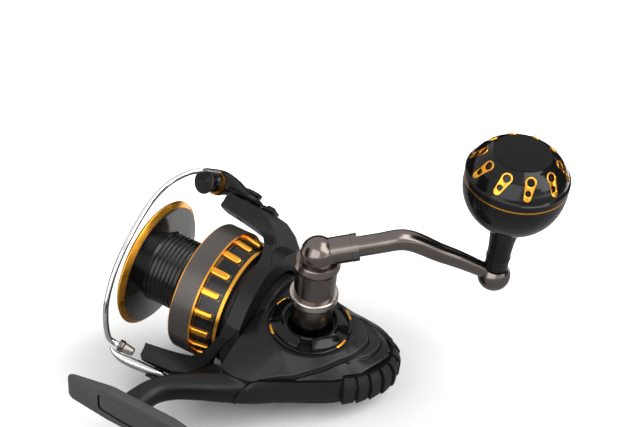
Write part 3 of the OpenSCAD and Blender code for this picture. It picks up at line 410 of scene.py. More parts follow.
# Ridges of the cover by angle and distance from the handle axis, and the drop over each
RIDGES = [
    (1.7, [(79, 35), (93, 28.3), (113, 24.4), (131.5, 22.8), (153, 22.1), (176, 23.9), (191, 25.5),
           (198.5, 25.5), (214, 22.8), (239, 19.5)]),
    (1.5, [(171, 24.8), (180, 27.8), (190, 29.7), (199.6, 31), (206, 30.5), (213, 27.6)]),
    (2.1, [(158, 29.4), (178, 31.8), (195, 35.8), (199, 35.8), (206, 33.2), (215, 28.4), (236, 23.5)]),
]
# Lip of the cover's flat top, by angle and distance
LIP = [(145, 20), (165, 20.5), (182, 20.6), (198, 19.5), (222, 18.9), (245, 18.6)]
# Fall of the cover's top, from a share of its reach to its rim, and the steeper fall past the lip
DOME_SHARE = 0.55
DOME_FALL = 8
DOME_POWER = 1.3
LIP_SLOPE = 1.15
# Rise where the two falls cross, how fast it dies away, and the distance where it starts
CREASE_RISE = 0.35
CREASE_RATE = 1.6
CREASE_FROM = 19
# Width of a ridge's step, the distance over which it dies away, and the fade at its ends in degrees
RIDGE_STEP = 0.25
RIDGE_REACH = 3.4
RIDGE_FADE = 9


def cover_height(r, angle, reach):
    """Height of the side cover's top at a distance and angle from the handle axis."""
    fall = max((r / reach - DOME_SHARE) / (1 - DOME_SHARE), 0) ** DOME_POWER
    base = COVER_Z - DOME_FALL * fall
    lip = COVER_Z - LIP_SLOPE * max(r - lookup(LIP, angle), 0)
    z = max(base, lip)
    if r > CREASE_FROM:
        z += CREASE_RISE * math.exp(-abs(base - lip) * CREASE_RATE)
    z = min(z, COVER_Z)
    for drop, table in RIDGES:
        ends = min(angle - table[0][0], table[-1][0] - angle)
        away = r - lookup(table, angle)
        shape = math.tanh(away / RIDGE_STEP) * math.exp(-abs(away) / RIDGE_REACH)
        z -= 0.5 * drop * step(ends / RIDGE_FADE) * shape
    return z


def cover_reach():
    """Distance of the body's outline from the handle axis, by angle."""
    table = []
    for p in smooth_curve(BODY, 24, True):
        angle = math.degrees((p - HANDLE).angle_signed(Vector((1, 0)))) % 360
        table.append((angle, (p - HANDLE).length))
    table.sort()
    return [(table[-1][0] - 360, table[-1][1])] + table + [(table[0][0] + 360, table[0][1])]


COVER_HOLE_R = 10
COVER_TURNS = 420
COVER_ROUNDS = 110
# Overlap of the cover with the body below its parting line
COVER_SINK = 0.05


def cover_skin():
    """Side cover, from the hole for the column out to the body's outline, with a flat underside."""
    table = cover_reach()
    loops = [[] for _ in range(COVER_ROUNDS + 3)]
    for k in range(COVER_TURNS):
        angle = 360 * k / COVER_TURNS
        turn = math.radians(angle)
        reach = lookup(table, angle)
        c = math.cos(turn)
        edge = min(reach, (FRONT_X - HANDLE.x) / c) if c > 0 else reach
        for j in range(COVER_ROUNDS + 1):
            r = COVER_HOLE_R + (edge - COVER_HOLE_R) * j / COVER_ROUNDS
            loops[j].append(about_handle(r, cover_height(r, angle, reach), turn))
        loops[-2].append(about_handle(edge, PARTING_Z - COVER_SINK, turn))
        loops[-1].append(about_handle(COVER_HOLE_R, PARTING_Z - COVER_SINK, turn))
    piece = add_piece("cover_skin", skin(loops + loops[:1]), COVER_BLACK, "frame", 50)
    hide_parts("side_cover")


# Distance of a ridge's edge and of its line of painted shade from the ridge's line, how deep both lie, and
# their radii
EDGE_INSET = 0.35
SHADE_OUTSET = 0.6
EDGE_SINK = 0.3
EDGE_THIN = 0.2
EDGE_SWELL = 0.28
# Points over which an edge swells from each end
EDGE_FADE = 18


def ridge_edges():
    """Rounded edges along the cover's ridges, in a lighter black as a painted highlight, and a dark line of
    painted shade at the foot of each.
    """
    table = cover_reach()
    edges, shade_lines = [], []
    for _, ridge in RIDGES:
        edge, shade_line, radii = [], [], []
        line = smooth_curve(ridge, 10)
        for i, p in enumerate(line):
            turn = math.radians(p.x)
            reach = lookup(table, p.x)
            for out, r in ((edge, p.y - EDGE_INSET), (shade_line, p.y + SHADE_OUTSET)):
                z = cover_height(r, p.x, reach) - EDGE_SINK
                out.append(Vector((HANDLE.x + r * math.cos(turn), HANDLE.y + r * math.sin(turn), z)))
            radii.append(EDGE_THIN + EDGE_SWELL * step(min(i, len(line) - 1 - i) / EDGE_FADE))
        edges.append(tube(edge, [(r, r) for r in radii], (0, 0, 1), at, 16))
        shade_lines.append(tube(shade_line, [(0.9 * r, 0.8 * r) for r in radii], (0, 0, 1), at, 12))
    add_piece("ridge_edges", joined(*edges), RIDGE_HIGHLIGHT_BLACK, "frame", 60)
    add_piece("ridge_painted_shade", joined(*shade_lines), PAINTED_SHADE_BLACK, "frame", 60)


# Middle of each slice of the stem, then its half length, half thickness and turn
STEM_LINE = [(-3.6, 79), (-5.7, 67.4), (-11.2, 59.6), (-20.2, 53.1), (-31, 46.4), (-43, 37.4), (-56, 28)]
STEM_SIZE = [(6.4, 5, -6), (5.2, 5.1, -26), (5, 5.4, -44), (5.2, 5.8, -56), (5.8, 6.6, -58), (6.4, 8, -57),
             (4.5, 6.5, -58)]
# Boss under the rotor: its radius, its front end and how far it runs into the body
BOSS_R = 20.9
BOSS_FRONT = -14.5
BOSS_SINK = 3


def body_skin():
    """Gear body, stem and the boss under the rotor, joined into one smooth form."""
    outline = smooth_curve(BODY, 12, True)
    loops = []
    for z, share in HOUSING_LEVELS:
        loop = []
        for p in outline:
            q = BODY_MIDDLE + share * (p - BODY_MIDDLE)
            loop.append(at((min(q.x, FRONT_X), q.y, z)))
        loops.append(loop)
    shell = skin(loops, capped=True)
    loops = []
    for c, (length, thick, turn) in zip(smooth_curve(STEM_LINE, 8), smooth_curve(STEM_SIZE, 8)):
        turn = math.radians(turn)
        loop = []
        for u, v in oval(40, 0.8):
            u *= length
            loop.append(at((c.x + u * math.cos(turn), c.y + u * math.sin(turn), v * thick)))
        loops.append(loop)
    stem = skin(loops, capped=True)
    rear = FRONT_X - BOSS_SINK
    boss = turned([(0, rear), (BOSS_R, rear), (BOSS_R, BOSS_FRONT), (0, BOSS_FRONT)], about_x, 72)
    mesh = fused("body_skin", (shell, stem, boss), voxel_mm=0.65, rounds=4)
    piece = add_piece("body_skin", mesh, SATIN_BLACK, "frame", 60)
    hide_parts("body_housing")


FOOT_LENGTH = 76
FOOT_WIDTH = 18.6
FOOT_END_WIDTH = 15.2
FOOT_CORNER = 3.2
# Distance from the middle where the foot's sides start to taper
FOOT_STRAIGHT = FOOT_LENGTH * 0.24
FOOT_THICKNESS = [(-38, 1.5), (-14, 4.2), (16, 4.2), (38, 1.5)]
# Rings of the foot from the stem's side to the flat face: shares of its length and width, whether the
# depth counts from the flat face, and the depth
FOOT_RINGS = [
    (0.3, 0.02, False, 0), (0.7, 0.5, False, 0), (0.975, 0.92, False, 0), (0.99, 0.965, False, 0.15),
    (1, 1, False, 0.55), (1, 1, True, 0.5), (0.993, 0.975, True, 0.12), (0.985, 0.94, True, 0),
    (0.59, 0.63, True, 0), (0.583, 0.61, True, 0.12), (0.575, 0.585, True, 0.5), (0.565, 0.56, True, 0.6),
    (0.3, 0.02, True, 0.6),
]
# Rings of the dark band of painted shade round the sunk field in the flat face
FOOT_SHADE_RINGS = [
    (0.59, 0.63, True, 0), (0.584, 0.612, True, 0.08), (0.574, 0.583, True, 0.44), (0.57, 0.573, True, 0.9),
    (0.6, 0.65, True, 0.9),
]


def foot_outline():
    """Foot's outline about its middle: straight sides that taper to rounded ends."""
    quarter = []
    cx, cz = FOOT_LENGTH / 2 - FOOT_CORNER, FOOT_END_WIDTH / 2 - FOOT_CORNER
    for k in range(9):
        angle = math.pi / 2 * k / 8
        quarter.append((cx + FOOT_CORNER * math.cos(angle), cz + FOOT_CORNER * math.sin(angle)))
    for k in range(1, 9):
        x = cx + (FOOT_STRAIGHT - cx) * k / 8
        z = FOOT_END_WIDTH / 2 + (FOOT_WIDTH - FOOT_END_WIDTH) / 2 * k / 8
        quarter.append((x, z))
    for k in range(1, 9):
        quarter.append((FOOT_STRAIGHT * (1 - k / 8), FOOT_WIDTH / 2))
    half = quarter + [(-x, z) for x, z in reversed(quarter[:-1])]
    return half + [(x, -z) for x, z in reversed(half)]


def foot_skin():
    """Foot with a sunk field in its flat face, in a black made lighter as painted light on its face, and a
    dark band of painted shade round that field.
    """
    outline = foot_outline()

    def ring(share_x, share_z, flat_face, depth):
        loop = []
        for x, z in outline:
            x, z = x * share_x, z * share_z
            y = -depth if flat_face else depth - lookup(FOOT_THICKNESS, x)
            loop.append(at((ROW_ORIGIN.x + x, ROW_ORIGIN.y + y, z)))
        return loop

    loops = [ring(*row) for row in FOOT_RINGS]
    add_piece("foot_skin", skin(loops, capped=True), FOOT_LIT_BLACK, "frame", 40)
    # Dark band of painted shade round the sunk field
    shade_line = [ring(*row) for row in FOOT_SHADE_RINGS]
    add_piece("foot_painted_shade", skin(shade_line + shade_line[:1]), PAINTED_SHADE_BLACK, "frame", 40)


# Panel along the near rim: where it runs low down, over the root of the stem, and where it runs at its top
PANEL_LOW = [(-36.6, 50), (-40, 48), (-43, 46), (-46.5, 43.6), (-50, 40.9), (-56, 36.2), (-60.5, 33),
             (-66, 29), (-72, 24.6), (-76, 19.8)]
PANEL_TOP = [(-39.2, 46.2), (-41, 45.2), (-43.6, 43.6), (-46.6, 41.8), (-50, 39.6), (-56, 35.8), (-60.5, 33),
             (-66, 29), (-72, 24.6), (-76, 19.8)]
PANEL_FOOT_Z = -3.1
PANEL_HEIGHT = 11.9
# Length of the rounded front end, how far the edges turn in, and the depth of the back
PANEL_NOSE = 8.5
PANEL_EDGE = 0.7
PANEL_BACK = 2
# Height where the panel starts to lean from the low line to the top line, and the height of the lean
LEAN_Z = 2.5
LEAN_HEIGHT = 6


def panel_band(push, grow):
    """Band along the near rim with a rounded front end, pushed out and grown by some millimetres."""
    low = smooth_curve(PANEL_LOW, 10)
    top = smooth_curve(PANEL_TOP, 10)
    foot = PANEL_FOOT_Z - grow
    loops = []
    for i, p in enumerate(low):
        out = outward(low, i, Vector((0, 1)))
        share = min((p - low[0]).length / (PANEL_NOSE + grow), 1)
        rise = math.sqrt(max(1 - (1 - share) ** 2, 0))
        height = (PANEL_HEIGHT + 2 * grow) * max(rise, 0.02)
        rows = [(foot + height * k / 8, push - (PANEL_EDGE if k in (0, 8) else 0)) for k in range(9)]
        rows += [(foot + height, -PANEL_BACK), (foot, -PANEL_BACK)]
        loop = []
        for z, away in rows:
            q = p.lerp(top[i], step((z - LEAN_Z) / LEAN_HEIGHT)) + away * out
            loop.append(at((q.x, q.y, z)))
        loops.append(loop)
    return skin(loops, capped=True)


def side_panel():
    """Panel along the near rim, and a dark band of painted shade round it."""
    add_piece("side_panel", panel_band(0.75, 0), COVER_BLACK, "frame", 30)
    add_piece("panel_painted_shade", panel_band(0.3, 0.45), PAINTED_SHADE_BLACK, "frame", 30)


REAR = [(-62, -17), (-73, -15.4), (-81.6, -12.4), (-87, -7), (-89.4, 1), (-88.2, 9), (-84, 17), (-77.5, 24),
        (-66, 31), (-58, 30), (-58, -15)]
TREAD_MIDDLE = Vector((-64, 4))
# Front ends of the bumper on the far side and on the near side
REAR_FAR_X = -72
REAR_NEAR_X = -75.5
# Angle of the first tread about the middle, the pitch in degrees and half a groove as a share of it
TREAD_START = 118
TREAD_PITCH = 15.5
GROOVE_SHARE = 0.1
# Depth of a groove, the drop of the top edge over it, and the slant of a tread's face
GROOVE_DEPTH = 1.7
GROOVE_DROP = 1.1
TREAD_SLANT = 0.9
# Inset from the rim and height of a dark line of painted shade in the groove between the cover and the treads
TREAD_SHADE_INSET = 5.2
TREAD_SHADE_Z = 9.2


def rear_treads():
    """Rear bumper: a thick rim of stepped blocks with grooves between them."""

    def angle_of(p):
        return math.degrees(math.atan2(p.y - TREAD_MIDDLE.y, p.x - TREAD_MIDDLE.x)) % 360

    path = [p for p in smooth_curve(REAR, 60, True) if p.x < (REAR_FAR_X if p.y < 0 else REAR_NEAR_X)]
    path.sort(key=angle_of)
    loops = []
    shade_line = []
    for i, p in enumerate(path):
        out = outward(path, i, p - TREAD_MIDDLE)
        q = p - TREAD_SHADE_INSET * out
        shade_line.append(Vector((q.x, q.y, TREAD_SHADE_Z)))
        along = (angle_of(p) - TREAD_START) / TREAD_PITCH
        along -= math.floor(along)
        groove = along < GROOVE_SHARE or along > 1 - GROOVE_SHARE
        o = -GROOVE_DEPTH if groove else -TREAD_SLANT * (along - GROOVE_SHARE)
        top = GROOVE_DROP if groove else 0
        loop = []
        for push, z in ((-6, -4), (o - 1, -4), (o, -2.2), (o, 5.4), (o - 1.1, 7.6 - top),
                        (o - 2.4, 9.2 - top), (-4.3, 9.5 - top), (-6, 9.3 - top)):
            q = p + push * out
            loop.append(at((q.x, q.y, z)))
        loops.append(loop)
    piece = add_piece("rear_treads", skin(loops, capped=True), MATT_BLACK, "frame", 28)
    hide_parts("rear_cover")
    # Dark tube of painted shade along the groove between the cover and the treads
    part = tube(shade_line, [(1.1, 0.9)] * len(shade_line), (0, 0, 1), at, 16)
    add_piece("tread_painted_shade", part, PAINTED_SHADE_BLACK, "frame", 60)


# Sections of the collar, as distance from the handle axis and height, through a segment and a field
COLLAR_BLOCK = [(11, 16.95), (11, 20.1), (11.4, 20.5), (12.4, 20.6), (12.8, 20.5), (16.4, 19.3), (16.8, 18.9),
                (17, 18.1), (17.8, 18.1), (18.2, 17.9), (18.3, 17.5), (18.3, 16.95)]
COLLAR_FIELD = [(11, 16.95), (11, 20.1), (11.4, 20.5), (12, 20.5), (12.3, 20.2), (12.6, 18.6), (16, 17.6),
                (17, 17.8), (17.8, 18.1), (18.2, 17.9), (18.3, 17.5), (18.3, 16.95)]
COLLAR_SEGMENTS = 5
# Angle of the first field's middle and half its width, in degrees
FIELD_TURN = 39
FIELD_HALF = 11
# Middles and width of the coloured arcs, in degrees
MARKS = (48, 168, 228, 348)
MARK_WIDTH = 18


def collar_ring():
    """Collar round the column: five broad raised segments with sunk fields between them."""
    angles = []
    for k in range(COLLAR_SEGMENTS):
        start = FIELD_TURN + 360 / COLLAR_SEGMENTS * k
        angles += [(start - FIELD_HALF + j * 2, COLLAR_FIELD) for j in range(12)]
        angles += [(start + FIELD_HALF + 0.6 + j * 1.8, COLLAR_BLOCK) for j in range(28)]
    loops = []
    for i in range(len(COLLAR_BLOCK)):
        loops.append([about_handle(*section[i], math.radians(a)) for a, section in angles])
    piece = add_piece("collar_ring", skin(loops + loops[:1]), GLOSS_BLACK, "frame", 30)
    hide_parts("side_collar")


def mark_arcs():
    """Thin coloured arcs on the collar's rim."""
    section = [(17.3, 17.9), (17.35, 18.28), (17.6, 18.36), (18.05, 18.26), (18.3, 17.95), (18.2, 17.8)]
    parts = []
    for middle in MARKS:
        loops = []
        for k in range(13):
            angle = math.radians(middle - MARK_WIDTH / 2 + MARK_WIDTH * k / 12)
            loops.append([about_handle(r, z, angle) for r, z in section])
        parts.append(skin(loops, capped=True))
    piece = add_piece("mark_arcs", joined(*parts), GOLD, "frame", 40)
    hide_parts("collar_marks")


# Handle

ARM_TURN = math.radians(217.6)
KNOB_AXIS = (-110.46, -38.61)
BALL_Z = 43
BALL_R = 7.1
ARM_LINE = [(16.33, 62.17), (25, 63.7), (33, 65.2), (38, 64.5), (43, 62.2), (51, 57.58), (60.7, 52.72),
            (70.7, 47.1), (77.7, 43)]
ARM_RADII = [4.2, 4.2, 4.3, 4.3, 4.2, 4, 3.7, 3.3, 3.2]
# Width of the arm as a share of its height, and the power that gives its section fuller corners
ARM_NARROW = 0.98
ARM_POWER = 2 / 2.25
# Arc of the ball from its lowest point up to the flat seat of the knob
BALL_ARC = 132.5


def arm_skin():
    """Bent arm, and the ball with its seat at the arm's end."""
    c, s = math.cos(ARM_TURN), math.sin(ARM_TURN)
    path = [Vector((HANDLE.x + p.x * c, HANDLE.y + p.x * s, p.y)) for p in smooth_curve(ARM_LINE, 10)]
    sizes = [(r.x * ARM_NARROW, r.x) for r in smooth_curve([(r, 0) for r in ARM_RADII], 10)]
    arm = tube(path, sizes, (s, -c, 0), at, 40, ARM_POWER)
    profile = []
    for k in range(19):
        angle = math.radians(-90 + BALL_ARC * k / 18)
        profile.append((BALL_R * math.cos(angle), BALL_Z + BALL_R * math.sin(angle)))
    profile += [(4.6, 47.81), (2.6, 47.81), (2.6, 46), (0, 46)]

    def about_knob(r, h, angle):
        return at((KNOB_AXIS[0] + r * math.cos(angle), KNOB_AXIS[1] + r * math.sin(angle), h))

    part = joined(arm, turned(profile, about_knob, 64))
    piece = add_piece("arm_skin", part, GUNMETAL, "crank", 50)
    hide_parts("handle_arm")


# Rotor and bail

ROLLER_AT = Vector((30.5, 0, 46.2))
ROLLER_DIR = Vector((0.288, 0.874, -0.391)).normalized()
HOLDER_DIR = Vector((20, 8.4, 0)).normalized()
SOCKET_END = Vector((30.5, 9, -42.4))
WIRE = [(29.3, 5.7, 50.1), (31, 10.9, 47.8), (32.8, 16, 45.4), (37, 19.8, 40.2), (41, 23, 31.6),
        (41.3, 29, 19), (40, 33, 1.5), (39, 32, -15), (37.8, 27, -28), (36.4, 20.6, -36),
        SOCKET_END + 5 * HOLDER_DIR + Vector((0, 2, 1)), SOCKET_END + 2.4 * HOLDER_DIR,
        SOCKET_END + 0.1 * HOLDER_DIR]
WIRE_R = 1.3
# Direction that the wire never runs along, to keep its section from twisting
WIRE_SIDE = (0.75, -0.66, 0)


def bail_line():
    """Bail wire, from the roller round to the ringed nut."""
    path = smooth_curve(WIRE, 12)
    part = tube(path, [(WIRE_R, WIRE_R)] * len(path), WIRE_SIDE, on_rotor, 24)
    piece = add_piece("bail_line", part, CHROME, "bail_group", 60)
    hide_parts("bail_wire")


# Middle line of the roller arm, then its half width and half thickness at each point
LEVER_LINE = [(4.7, 0, 44.9), (7, 0, 45.3), (11, 0, 45.7), (15, -0.4, 46.5), (19, -1.5, 47.4),
              (23, -2.6, 48.1), (27, -2.9, 48), (29.4, -2, 47.3), (30.3, -0.6, 46.5), (30.5, 0, 46.2)]
LEVER_SIZE = [(2, 1), (4.9, 1.6), (6.3, 2), (4.9, 2.75), (4.2, 3.55), (4.4, 4.3), (5, 5.4), (5.8, 6),
              (6.1, 6.1), (6, 6)]
# Share of the roller arm's length where it starts to turn to the roller, and the share over which it does
LEVER_BEND_FROM = 0.62
LEVER_BEND_OVER = 0.36


def lever_skin():
    """Roller arm: a flat pivot end that thickens and turns to the roller's face."""
    path = smooth_curve(LEVER_LINE, 6)
    sizes = smooth_curve(LEVER_SIZE, 6)
    section = oval(36, 0.8)
    loops = []
    for i, p in enumerate(path):
        bend = step((i / (len(path) - 1) - LEVER_BEND_FROM) / LEVER_BEND_OVER)
        ahead = heading(path, i).lerp(ROLLER_DIR, bend).normalized()
        a = ahead.cross(Vector((0, 0, 1))).normalized()
        b = a.cross(ahead)
        loops.append([on_rotor(p + sizes[i].x * c * a + sizes[i].y * s * b) for c, s in section])
    part = skin(loops, capped=True)
    piece = add_piece("lever_skin", part, SATIN_BLACK, "bail_group", 50)
    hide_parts("bail_arm")


# Slices of the wire holder: distance along it from the pivot, height, half thickness and half width
HOLDER_SLICES = [(-7, -45, 0.5, 1.5), (-4.5, -45.3, 1.2, 5), (0, -45.6, 1.75, 6.4), (6, -46.2, 2.15, 5),
                 (12, -46.7, 2.3, 3.8), (17, -47, 1.9, 3.1), (20.5, -46.8, 1.3, 2.9), (23, -45.9, 0.9, 2.7),
                 (24.6, -44.6, 0.6, 2.2)]
HOLDER_PIVOT_X = 11
HOLDER_SIDE = Vector((-HOLDER_DIR.y, HOLDER_DIR.x, 0))


def holder_skin():
    """Wire holder: a pivot disc and a boat-shaped lever whose tip curls up round the nut."""
    section = oval(32, 0.8, 0.7)
    loops = []
    for along, height, half_thick, half_wide in smooth_curve(HOLDER_SLICES, 6):
        p = Vector((HOLDER_PIVOT_X, 0, height)) + along * HOLDER_DIR
        loop = []
        for c, s in section:
            loop.append(on_rotor(p + half_wide * c * HOLDER_SIDE + Vector((0, 0, half_thick * s))))
        loops.append(loop)
    part = skin(loops, capped=True)
    piece = add_piece("holder_skin", part, STEEL, "bail_group", 50)
    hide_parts("bail_holder")


def wire_end():
    """Ringed nut where the wire goes in, and the tapered tube behind it."""

    def place(r, h, angle):
        across = math.cos(angle) * HOLDER_SIDE + math.sin(angle) * Vector((0, 0, 1))
        return on_rotor(SOCKET_END - h * HOLDER_DIR + r * across)

    nut = [(1.3, 0.3), (1.5, 0), (2.5, 0), (2.85, 0.3), (2.9, 0.9), (2.6, 1.05), (2.6, 1.3), (2.9, 1.45),
           (2.9, 2.2), (2.6, 2.6), (1.9, 2.6), (1.3, 0.3)]
    piece = add_piece("ringed_nut", turned(nut, place, 48), GUNMETAL, "bail_group", 30)
    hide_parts("wire_socket")
    sleeve = [(0, 2.5), (1.9, 2.5), (2.3, 2.7), (2.35, 3.2), (2.15, 5.6), (1.9, 7.2), (1.3, 7.7), (0, 7.8)]
    add_piece("wire_tube", turned(sleeve, place, 48), TUBE_GREY, "bail_group", 40)


def roller_cap():
    """Axle of the roller with a cap of concentric rings."""
    u = ROLLER_DIR.orthogonal().normalized()
    v = ROLLER_DIR.cross(u)

    def place(r, h, angle):
        return on_rotor(ROLLER_AT + h * ROLLER_DIR + r * (math.cos(angle) * u + math.sin(angle) * v))

    profile = [(0, -1.5), (1.5, -1.5), (1.5, 7.7), (5.7, 7.7), (6, 7.95), (6, 8.7), (5.6, 9.05), (4.5, 9.1),
               (4.3, 8.85), (4.05, 8.85), (3.85, 9.1), (3, 9.1), (2.8, 8.85), (2.55, 8.85), (2.35, 9.1),
               (1.3, 9.1), (1.0, 8.7), (0, 8.7)]
    piece = add_piece("roller_cap", turned(profile, place, 64), CAP_BLACK, "bail_group", 30)
    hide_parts("roller_axle")


# Spool

BAR_COUNT = 18
BAR_PITCH = 360 / BAR_COUNT
# Turn of the first bar, then half a bar's width, its front end and the middle of its rounded rear end
BAR_TURN = -5.7
BAR_HALF = 1.6
BAR_FRONT_X = -0.95
BAR_REAR_X = -7.6
# Cone of the recess that the bars stand in: its front, its length, and its radius there and the fall
RECESS_X = -0.9
RECESS_LENGTH = 10.1
RECESS_R = 28.3
RECESS_FALL = 1.5
# Start and width of a window after the middle of each bar, in degrees
WINDOW_START = 3.9
WINDOW_WIDTH = 12.2


def recess_r(x):
    return RECESS_R - RECESS_FALL * (RECESS_X - x) / RECESS_LENGTH


def on_skirt(x, r, angle):
    return at((x, -r * math.sin(angle), r * math.cos(angle)))


def skirt_bars():
    """Raised bars of the skirt, each a rounded tongue that stops short of the rear ring."""
    parts = []
    for i in range(BAR_COUNT):
        turn = math.radians(BAR_PITCH * i + BAR_TURN)

        def place(x, side, rise):
            r = recess_r(x) + rise
            return on_skirt(x, r, turn + side / r)

        loops = []
        for inset, rise in ((0, 0.05), (0, 0.8), (0.2, 1.1), (0.55, 1.25), (1.2, 1.3)):
            half = BAR_HALF - inset
            loop = [place(BAR_FRONT_X, half, rise), place(BAR_FRONT_X, -half, rise)]
            for k in range(13):
                angle = math.pi * k / 12
                loop.append(place(BAR_REAR_X - half * math.sin(angle), -half * math.cos(angle), rise))
            loops.append(loop)
        parts.append(skin(loops, capped=True))
    piece = add_piece("bar_tongues", joined(*parts), GOLD, "spool_group", 40)
    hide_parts("skirt_bars")


GROOVE_COUNT = 10
GROOVE_FROM_X = 11.5
GROOVE_PITCH = 2.1


def arbor_sleeve():
    """Grooved arbor and the polished back of the front flange."""
    profile = [(17.6, 10.72), (16.9, 11.1)]
    for i in range(GROOVE_COUNT):
        x = GROOVE_FROM_X + GROOVE_PITCH * i
        profile += [(16.62, x), (16.85, x + 0.35), (16.9, x + 0.85), (16.85, x + 1.35), (16.6, x + 1.6),
                    (16.55, x + 1.9)]
    profile += [(16.8, 32.7), (17.4, 33.5), (15.6, 33.5), (15.6, 10.72), (17.6, 10.72)]
    add_piece("arbor_sleeve", turned(profile, about_x, 96), ARBOR_BLACK_AND_SHADE, "spool_group", 40)
    profile = [(17.2, 33.38), (17.9, 33.5), (28.2, 35), (28.4, 35.1), (28.2, 35.4), (17.2, 33.8),
               (17.2, 33.38)]
    add_piece("flange_back", turned(profile, about_x, 128), FLANGE, "spool_group", 40)


def skirt_windows():
    """Dark plates painted as the shade in the sunk windows between the skirt's bars, and a dark ring of
    painted shade behind them.
    """
    ring = [(27.09, -9.5), (26.87, -10.95), (26.5, -10.95), (26.5, -9.5), (27.09, -9.5)]
    parts = [turned(ring, about_x, 128)]
    for i in range(BAR_COUNT):
        loops = []
        for k in range(7):
            angle = math.radians(BAR_PITCH * i + BAR_TURN + WINDOW_START + WINDOW_WIDTH * k / 6)
            loop = []
            for x, rise in ((-1.3, 0.05), (-1.5, 0.1), (-9.5, 0.1), (-9.6, -0.4), (-1.3, -0.4)):
                loop.append(on_skirt(x, recess_r(x) + rise, angle))
            loops.append(loop)
        parts.append(skin(loops, capped=True))
    add_piece("skirt_windows", joined(*parts), ARBOR_BLACK_AND_SHADE, "spool_group", 40)


def front_line():
    """Thin line at the front edge of the skirt's band."""
    profile = [(30.2, 9.9), (30.72, 10), (30.76, 10.2), (30.6, 10.5), (30.1, 10.75), (29.8, 10.3),
               (30.2, 9.9)]
    add_piece("front_line", turned(profile, about_x, 128), GOLD, "spool_group", 50)


# Stage

# Strength of the white surroundings as seen, and as light on matt surfaces
WORLD_SEEN = 1.0
WORLD_LIGHT = 0.32
# Point that the floor is centred under, and its size
FLOOR_MIDDLE = (-0.03, -0.08, 0.02)
FLOOR_R = 2.5
FLOOR_GREY = 0.9
# Distances from the floor's middle where its own glow starts, and where the glow makes it white
GLOW_FROM = 0.065
GLOW_FULL = 0.26
LAMP_TARGET = (-0.02, -0.07, 0)
# Direction away from the viewer, along the floor
AHEAD = Vector((0.473, -0.822, -0.316))


def matt(name, grey):
    """Material of a plain matt grey."""
    s = Shader(name)
    s.bsdf.inputs["Base Color"].default_value = (grey, grey, grey, 1)
    s.bsdf.inputs["Roughness"].default_value = 0.9
    s.bsdf.inputs["Specular IOR Level"].default_value = 0.0
    return s


def add_lamp(name, place, size, power):
    """Square lamp that faces the reel."""
    data = bpy.data.lights.new(name, "AREA")
    data.shape = "SQUARE"
    data.size = size
    data.energy = power
    lamp = bpy.data.objects.new(name, data)
    bpy.context.scene.collection.objects.link(lamp)
    lamp.location = place
    lamp.rotation_mode = "QUATERNION"
    lamp.rotation_quaternion = (Vector(LAMP_TARGET) - Vector(place)).to_track_quat("-Z", "Y")


def add_flag(name, place, back, width, height, grey):
    """Card that only reflections show, so that bright metal keeps dark edges."""
    corners = [(-width / 2, -height / 2, 0), (width / 2, -height / 2, 0), (width / 2, height / 2, 0),
               (-width / 2, height / 2, 0)]
    mesh = bpy.data.meshes.new(name)
    mesh.from_pydata(corners, [], [(0, 1, 2, 3)])
    mesh.materials.append(matt(name, grey).material)
    flag = bpy.data.objects.new(name, mesh)
    bpy.context.scene.collection.objects.link(flag)
    back = back.normalized()
    across = FLOOR_UP.cross(back)
    if across.length < 0.1:
        across = Vector((1, 0, 0)).cross(back)
    across.normalize()
    axes = Matrix((across, back.cross(across), back)).transposed().to_4x4()
    flag.matrix_world = Matrix.Translation(place) @ axes
    flag.visible_camera = False
    flag.visible_diffuse = False
    flag.visible_transmission = False
    flag.visible_shadow = False


def add_world():
    """White surroundings, dimmer as light on matt surfaces than as seen or reflected."""
    scene = bpy.context.scene
    scene.view_settings.view_transform = "Standard"
    world = bpy.data.worlds.new("studio")
    scene.world = world
    world.use_nodes = True
    tree = world.node_tree
    shade = tree.nodes["Background"]
    shade.inputs["Color"].default_value = (1, 1, 1, 1)
    path = tree.nodes.new("ShaderNodeLightPath")
    seen = path.outputs["Is Camera Ray"]
    for ray in ("Is Transmission Ray", "Is Glossy Ray"):
        either = tree.nodes.new("ShaderNodeMath")
        either.operation = "MAXIMUM"
        tree.links.new(seen, either.inputs[0])
        tree.links.new(path.outputs[ray], either.inputs[1])
        seen = either.outputs["Value"]
    level = tree.nodes.new("ShaderNodeMapRange")
    level.inputs["To Min"].default_value = WORLD_LIGHT
    level.inputs["To Max"].default_value = WORLD_SEEN
    tree.links.new(seen, level.inputs["Value"])
    tree.links.new(level.outputs["Result"], shade.inputs["Strength"])


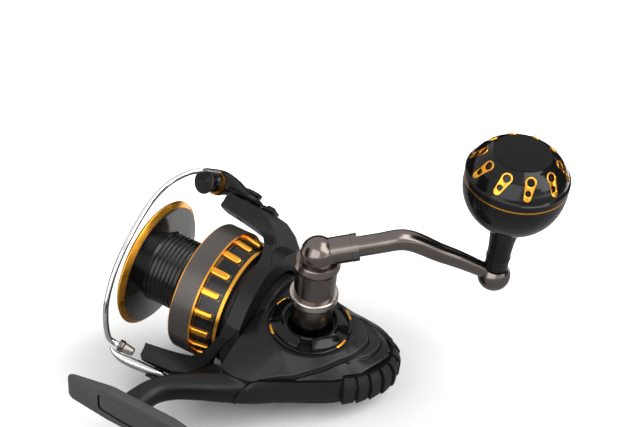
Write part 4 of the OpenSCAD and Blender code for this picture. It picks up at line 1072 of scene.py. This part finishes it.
def floor_material():
    s = matt("floor", FLOOR_GREY)
    s.bsdf.inputs["Emission Color"].default_value = (1, 1, 1, 1)
    # White far off, and no glow of its own near the reel, where the shadow falls
    far = s.add("ShaderNodeVectorMath")
    far.operation = "LENGTH"
    s.link(s.place(), far.inputs[0])
    glow = s.add("ShaderNodeMapRange", From_Min=GLOW_FROM, From_Max=GLOW_FULL, To_Min=0.0, To_Max=1.0)
    s.link(far.outputs["Value"], glow.inputs["Value"])
    s.link(glow.outputs["Result"], s.bsdf.inputs["Emission Strength"])
    # The floor is tilted, so it is clear from below, where a low view would look through it
    below = s.add("ShaderNodeNewGeometry").outputs["Backfacing"]
    mix = s.add("ShaderNodeMixShader")
    s.link(below, mix.inputs["Fac"])
    s.link(s.bsdf.outputs["BSDF"], mix.inputs[1])
    s.link(s.add("ShaderNodeBsdfTransparent").outputs["BSDF"], mix.inputs[2])
    s.link(mix.outputs["Shader"], s.output.inputs["Surface"])
    return s.material


def add_stage():
    """Floor under the reel's lowest point, two lamps and the cards."""
    bm = bmesh.new()
    bmesh.ops.create_circle(bm, cap_ends=True, segments=96, radius=FLOOR_R)
    mesh = bpy.data.meshes.new("floor")
    bm.to_mesh(mesh)
    bm.free()
    mesh.materials.append(floor_material())
    floor = bpy.data.objects.new("floor", mesh)
    bpy.context.scene.collection.objects.link(floor)
    lowest = min(FLOOR_UP.dot(v.co) for node in nodes.values() for v in node.data.vertices)
    turn = FLOOR_UP.to_track_quat("Z", "Y").to_matrix().to_4x4()
    middle = Vector(FLOOR_MIDDLE)
    middle += (lowest - FLOOR_UP.dot(middle)) * FLOOR_UP
    floor.matrix_world = Matrix.Translation(middle) @ turn
    add_lamp("key", (-0.9, -0.5, 1.2), 1.6, 34)
    add_lamp("fill", (-0.1, 1.1, 0.7), 1.4, 15)
    right = AHEAD.cross(FLOOR_UP)
    # Each card's place to the right, ahead and up, the way it faces, its size and its grey
    for name, (x, y, z), back, width, height, grey in (
            ("flag_back", (0, 0.45, 0.186), AHEAD, 1.5, 0.34, 0.01),
            ("flag_right", (0.42, 0.05, 0.226), right, 0.36, 0.5, 0.01),
            ("flag_left", (-0.5, -0.1, 0.226), right, 0.3, 0.5, 0.01),
            ("flag_floor", (0, -0.22, 0.001), FLOOR_UP, 0.9, 1.0, 0.4)):
        add_flag(name, middle + x * right + y * AHEAD + z * FLOOR_UP, back, width, height, grey)


add_camera()
add_world()
add_stage()
dress_cad()
cover_skin()
ridge_edges()
body_skin()
foot_skin()
side_panel()
rear_treads()
collar_ring()
mark_arcs()
arm_skin()
bail_line()
lever_skin()
holder_skin()
wire_end()
roller_cap()
skirt_bars()
arbor_sleeve()
skirt_windows()
front_line()
for name, width in (("rotor", 0.5), ("spool_lip", 0.25), ("drag_knob", 0.4), ("column_ring", 0.25),
                    ("upper_ring", 0.25), ("knob_neck", 0.25), ("knob_windows", 0.12)):
    soften(name, width)
